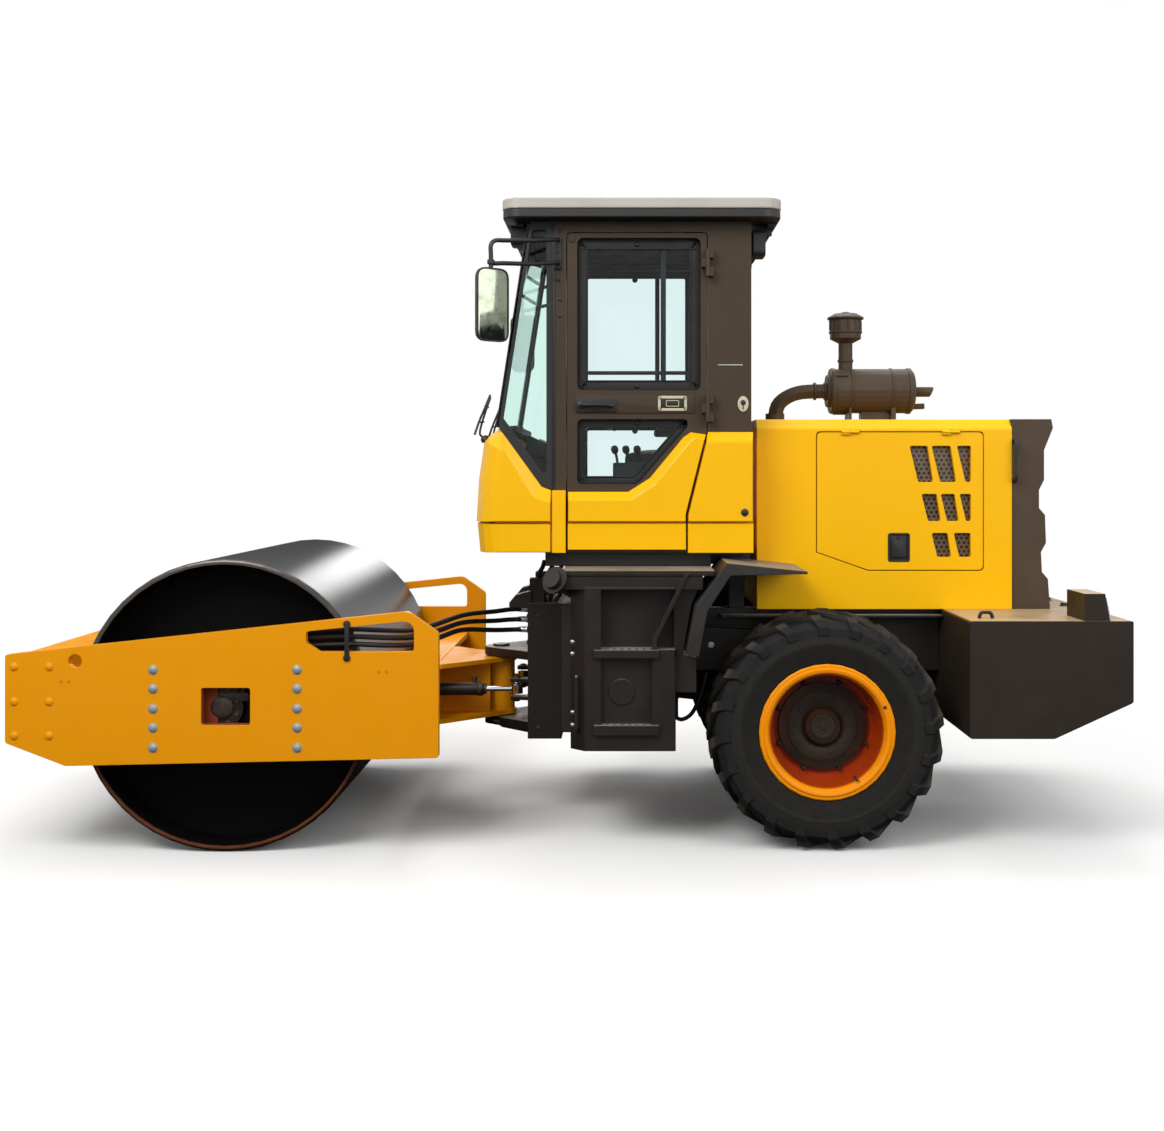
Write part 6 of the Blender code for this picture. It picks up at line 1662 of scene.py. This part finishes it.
@dataclass(frozen=True)
class WheelTrim:
    """Nuts, rings, valve and lock ring of a rear wheel.

    Attributes:
        centre: X and Z of the axle.
        disc: Distance of the hub disc's outer face from the middle plane.
        rim_face: Distance of the rim's outer face from the middle.
        nut_circle: Radius of the circle of nuts round the disc.
        nut_face: Distance of the face below them from the middle.
        nuts: How many there are.
    """

    centre: Pair = (1.229, 0.575)
    disc: float = 0.820
    rim_face: float = 1.005
    nut_circle: float = 0.229
    nut_face: float = 0.796
    nuts: int = 8

    def build(self) -> None:
        """Dress both wheels."""
        x, z = self.centre
        for side, body in ((Side.LEFT, Body.WHEEL_LEFT), (Side.RIGHT, Body.WHEEL_RIGHT)):
            sign = side.sign
            out = (0, sign, 0)
            hub = Form("wheel_hub_" + side.word, HUB_ENAMEL, Slot.CASTING)
            for place, at in enumerate(circle(self.centre, sign * self.nut_face, self.nut_circle, self.nuts, 0.5)):
                hub.turned(at, out, ((0.014, 0), (0.014, 0.016), (0.010, 0.020), (0, 0.020)), 6, place * 13)
                hub.turned(at, out, ((0.007, 0.018), (0.007, 0.030), (0, 0.032)), 10)
            for place, at in enumerate(circle(self.centre, sign * (self.disc - 0.0005), 0.135, 10)):
                hub.bolt(at, out, 0.010, place * 23)
            hub.turned((x, sign * (self.disc - 0.0005), z), out,
                       ((0.172, 0), (0.172, 0.003), (0.168, 0.005), (0.112, 0.005), (0.108, 0.003), (0.108, 0)), 40,
                       ring=True)
            hub.turned((x, sign * (self.disc + 0.0245), z), out,
                       ((0.060, 0), (0.058, 0.003), (0.046, 0.004), (0.044, 0.002), (0.018, 0.002), (0.014, 0.006),
                        (0, 0.006)), 30)
            hub.done(body)
            lock = Form("lock_ring_" + side.word, RIM_ENAMEL, Slot.ORANGE)
            ring = ((0.286, -0.0005), (0.296, 0.0045), (0.306, 0.0045), (0.3105, -0.0005))
            lock.turned((x, sign * self.rim_face, z), out, ring, 64, ring=True)
            lock.done(body)
            valve = Form("valve_" + side.word, DARK_STEEL, Slot.CASTING)
            angle = radians(-58)
            at = Vector((x + 0.268 * cos(angle), sign * 0.930, z + 0.268 * sin(angle)))
            valve.rod(at, at + Vector((0, sign * 0.060, 0)), 0.006, 10)
            valve.turned(at + Vector((0, sign * 0.058, 0)), out,
                         ((0.008, 0), (0.008, 0.016), (0.005, 0.019), (0, 0.019)), 10)
            angle = radians(24)
            at = Vector((x + 0.301 * cos(angle), sign * (self.rim_face - 0.001), z + 0.301 * sin(angle)))
            valve.turned(at, out, ((0.009, 0), (0.009, 0.007), (0.006, 0.009), (0, 0.009)), 10)
            valve.done(body)


@dataclass(frozen=True)
class CounterweightTrim:
    """Tail lamps, lifting eyes and bolts on the counterweight.

    Attributes:
        top: Height of its top.
        lamp_y: Range of a lamp housing's distance from the middle.
        lamp_z: Heights of the lenses' lower and upper edge.
        lamp_foot: X and Z of the foot of a housing's rear face.
        lamp_lean: How far forward that face leans, and over what height.
    """

    top: float = 1.120
    lamp_y: Pair = (0.812, 1.076)
    lamp_z: Pair = (1.140, 1.236)
    lamp_foot: Pair = (2.568, 1.100)
    lamp_lean: Pair = (0.028, 0.150)

    def face_x(self, z: float) -> float:
        """Return X of the housings' sloping rear face at a height."""
        return self.lamp_foot[0] - self.lamp_lean[0] * (z - self.lamp_foot[1]) / self.lamp_lean[1]

    def build(self) -> None:
        """Dress the counterweight."""
        low_z, high_z = self.lamp_z
        for side in Side:
            inner, outer = self.lamp_y
            cuts = ((inner + 0.010, inner + 0.095, LENS_RED), (inner + 0.100, inner + 0.180, LENS_AMBER),
                    (inner + 0.185, outer - 0.008, LENS_CLEAR))
            for number, (start, end, finish) in enumerate(cuts):
                lens = Form("tail_lens_%s_%d" % (side.word, number), finish, Slot.GLASS)
                x_low, x_high = self.face_x(low_z), self.face_x(high_z)
                outline = [(x_low - 0.002, low_z), (x_low + 0.008, low_z + 0.004), (x_high + 0.008, high_z - 0.004),
                           (x_high - 0.002, high_z)]
                lens.panel(outline, side, start, end, 0.002)
                lens.done(Body.REAR)
        eyes = Form("lifting_eyes", WEIGHT_ENAMEL, Slot.DARK)
        for y in (-0.950, 0.950):
            x = 2.005
            points = [(x - 0.030, y, self.top - 0.002), (x - 0.030, y, self.top + 0.012),
                      (x - 0.018, y, self.top + 0.028), (x + 0.018, y, self.top + 0.028),
                      (x + 0.030, y, self.top + 0.012), (x + 0.030, y, self.top - 0.002)]
            eyes.tube(smooth_route(points, 4), 0.009, 8)
        for y in (-0.62, -0.31, 0.0, 0.31, 0.62):
            eyes.bolt((2.590, y, self.top - 0.0005), (0, 0, 1), 0.022, y * 90)
        eyes.slab(square(-0.11, 0.79, 0.11, 0.97, 0.02), Plane.FRONT, 2.6745, 2.6748, 0.0)
        eyes.done(Body.REAR, 50)


# Camera, light and floor


@dataclass(frozen=True)
class Studio:
    """The camera at the photograph's viewing angle, soft light and a pale floor.

    Attributes:
        image_width: Width of the photograph in pixels.
        image_height: Its height in pixels.
        focal_px: Focal length in pixels.
        horizon: Column and row that the camera looks at straight on.
        eye: The camera's place.
        sensor_mm: Width of the film.
        sky: Strength of the even light from all round.
        shadow_reach: Distances from the middle between which the floor's shadow fades to white.
        card: X range, Y and height of the dark card behind the drum.
    """

    image_width: int = 1164
    image_height: int = 1131
    focal_px: float = 1391.0
    horizon: Pair = (624.0, 472.0)
    eye: tuple[float, float, float] = (0.249, -7.7, 1.83)
    sensor_mm: float = 36.0
    sky: float = 0.64
    shadow_reach: Pair = (3.0, 4.6)
    card: Box = (-8.0, 0.6, 10.0, 5.5)

    def camera(self) -> None:
        """Place the camera."""
        lens = bpy.data.cameras.new("camera")
        lens.sensor_width = self.sensor_mm
        lens.sensor_fit = "HORIZONTAL"
        lens.lens = self.focal_px * self.sensor_mm / self.image_width
        column, row = self.horizon
        lens.shift_x = (self.image_width / 2 - column) / self.image_width
        lens.shift_y = (row - self.image_height / 2) / self.image_width
        lens.clip_end = 100.0
        viewer = bpy.data.objects.new("camera", lens)
        viewer.location = self.eye
        viewer.rotation_euler = (radians(90), 0, 0)
        bpy.context.scene.collection.objects.link(viewer)
        bpy.context.scene.camera = viewer

    def world(self) -> None:
        """Light the object evenly from all round, with a white background for the camera."""
        world = bpy.data.worlds.new("studio")
        bpy.context.scene.world = world
        world.use_nodes = True
        tree = world.node_tree
        tree.nodes.clear()
        path = add_node(tree, "LightPath")
        direct = combine(tree, "MAXIMUM", path.outputs["Is Camera Ray"], path.outputs["Is Transmission Ray"])
        seen = combine(tree, "MAXIMUM", direct, path.outputs["Is Glossy Ray"])
        light = add_node(tree, "Background", {"Color": (1, 1, 1, 1), "Strength": self.sky})
        white = add_node(tree, "Background", {"Color": (1, 1, 1, 1), "Strength": 1.0})
        mixed = add_node(tree, "MixShader", {0: seen, 1: light.outputs[0], 2: white.outputs[0]})
        add_node(tree, "OutputWorld", {"Surface": mixed.outputs[0]})

    def lamps(self) -> None:
        """Hang the soft boxes: high on both sides of the camera, high behind, and low behind the drum."""
        rows = (
            # name, place, aim, size in metres, watts
            ("key", (-3.5, -6.0, 7.0), (0, 0, 1.0), 4.0, 440),
            ("fill", (5.0, -5.0, 4.5), (0, 0, 1.2), 4.0, 160),
            ("top", (0.5, 3.0, 8.0), (0, 0, 1.0), 5.0, 300),
            ("drum_band", (-1.35, 7.0, 2.9), (-1.27, 0, 1.27), 1.2, 24),
        )
        for name, place, aim, size, power in rows:
            lamp = bpy.data.lights.new(name, "AREA")
            lamp.shape = "SQUARE"
            lamp.size = size
            lamp.energy = power
            holder = bpy.data.objects.new(name, lamp)
            holder.location = place
            holder.rotation_euler = (Vector(place) - Vector(aim)).to_track_quat("Z", "Y").to_euler()
            holder.visible_camera = False
            holder.visible_transmission = False
            bpy.context.scene.collection.objects.link(holder)

    def floor(self) -> None:
        """Lay a pale floor that keeps the machine's shadow."""
        mesh = bpy.data.meshes.new("floor")
        work = bmesh.new()
        bmesh.ops.create_grid(work, x_segments=1, y_segments=1, size=40.0)
        work.to_mesh(mesh)
        work.free()
        floor = bpy.data.objects.new("floor", mesh)
        floor.location = (0, 0, -0.002)
        bpy.context.scene.collection.objects.link(floor)
        material, tree, shader = new_material("floor_matt_white")
        seen = add_node(tree, "LightPath").outputs["Is Camera Ray"]
        feed(tree, shader, {"Base Color": mix(tree, seen, "#4A4948", "#F8F8F7"), "Roughness": 0.9,
                            "Specular IOR Level": 0.0})
        place = add_node(tree, "TexCoord").outputs["Object"]
        reach = add_node(tree, "VectorMath", {0: place}, operation="LENGTH").outputs["Value"]
        near, far = self.shadow_reach
        fade = add_node(tree, "MapRange", {"Value": reach, "From Min": near, "From Max": far},
                        interpolation_type="SMOOTHSTEP")
        shown = combine(tree, "MULTIPLY", fade.outputs[0], seen)
        white = add_node(tree, "Emission", {"Color": (1, 1, 1, 1), "Strength": 1.0})
        mixed = add_node(tree, "MixShader", {0: shown, 1: shader.outputs[0], 2: white.outputs[0]})
        feed(tree, tree.nodes["Material Output"], {"Surface": mixed.outputs[0]})
        mesh.materials.append(material)

    def flag(self) -> None:
        """Stand a dark card far behind, which only reflections see, so that the drum's shell gets its band."""
        mesh = bpy.data.meshes.new("flag")
        x_low, x_high, y, top = self.card
        mesh.from_pydata([(x_low, y, 0), (x_high, y, 0), (x_high, y, top), (x_low, y, top)], [], [(0, 1, 2, 3)])
        card = bpy.data.objects.new("flag", mesh)
        bpy.context.scene.collection.objects.link(card)
        material, tree, shader = new_material("flag_black_cloth")
        feed(tree, shader, {"Base Color": linear("#1A1A1A"), "Roughness": 1.0})
        mesh.materials.append(material)
        card.visible_camera = False
        card.visible_diffuse = False
        card.visible_transmission = False
        card.visible_shadow = False

    def build(self) -> None:
        """Set up the whole studio."""
        scene = bpy.context.scene
        scene.view_settings.view_transform = "Standard"
        self.world()
        self.lamps()
        self.floor()
        self.flag()


def main() -> None:
    """Load the frame, set up the studio and dress the machine."""
    logging.basicConfig(level=logging.INFO, format="%(message)s")
    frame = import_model()
    studio = Studio()
    studio.camera()
    JointHoses().build()
    studio.build()
    dress_frame(frame["nodes"])
    for assembly in (SidePlateFixings(), DrumHub(), CentreJoint(), CabDoorTrim(), CabShellTrim(), CabInterior(),
                     RoofFittings(), HoodTrim(), TankTrim(), WheelTrim(), CounterweightTrim()):
        assembly.build()
        LOG.info("built %s", type(assembly).__name__)


if __name__ == "__main__":
    main()
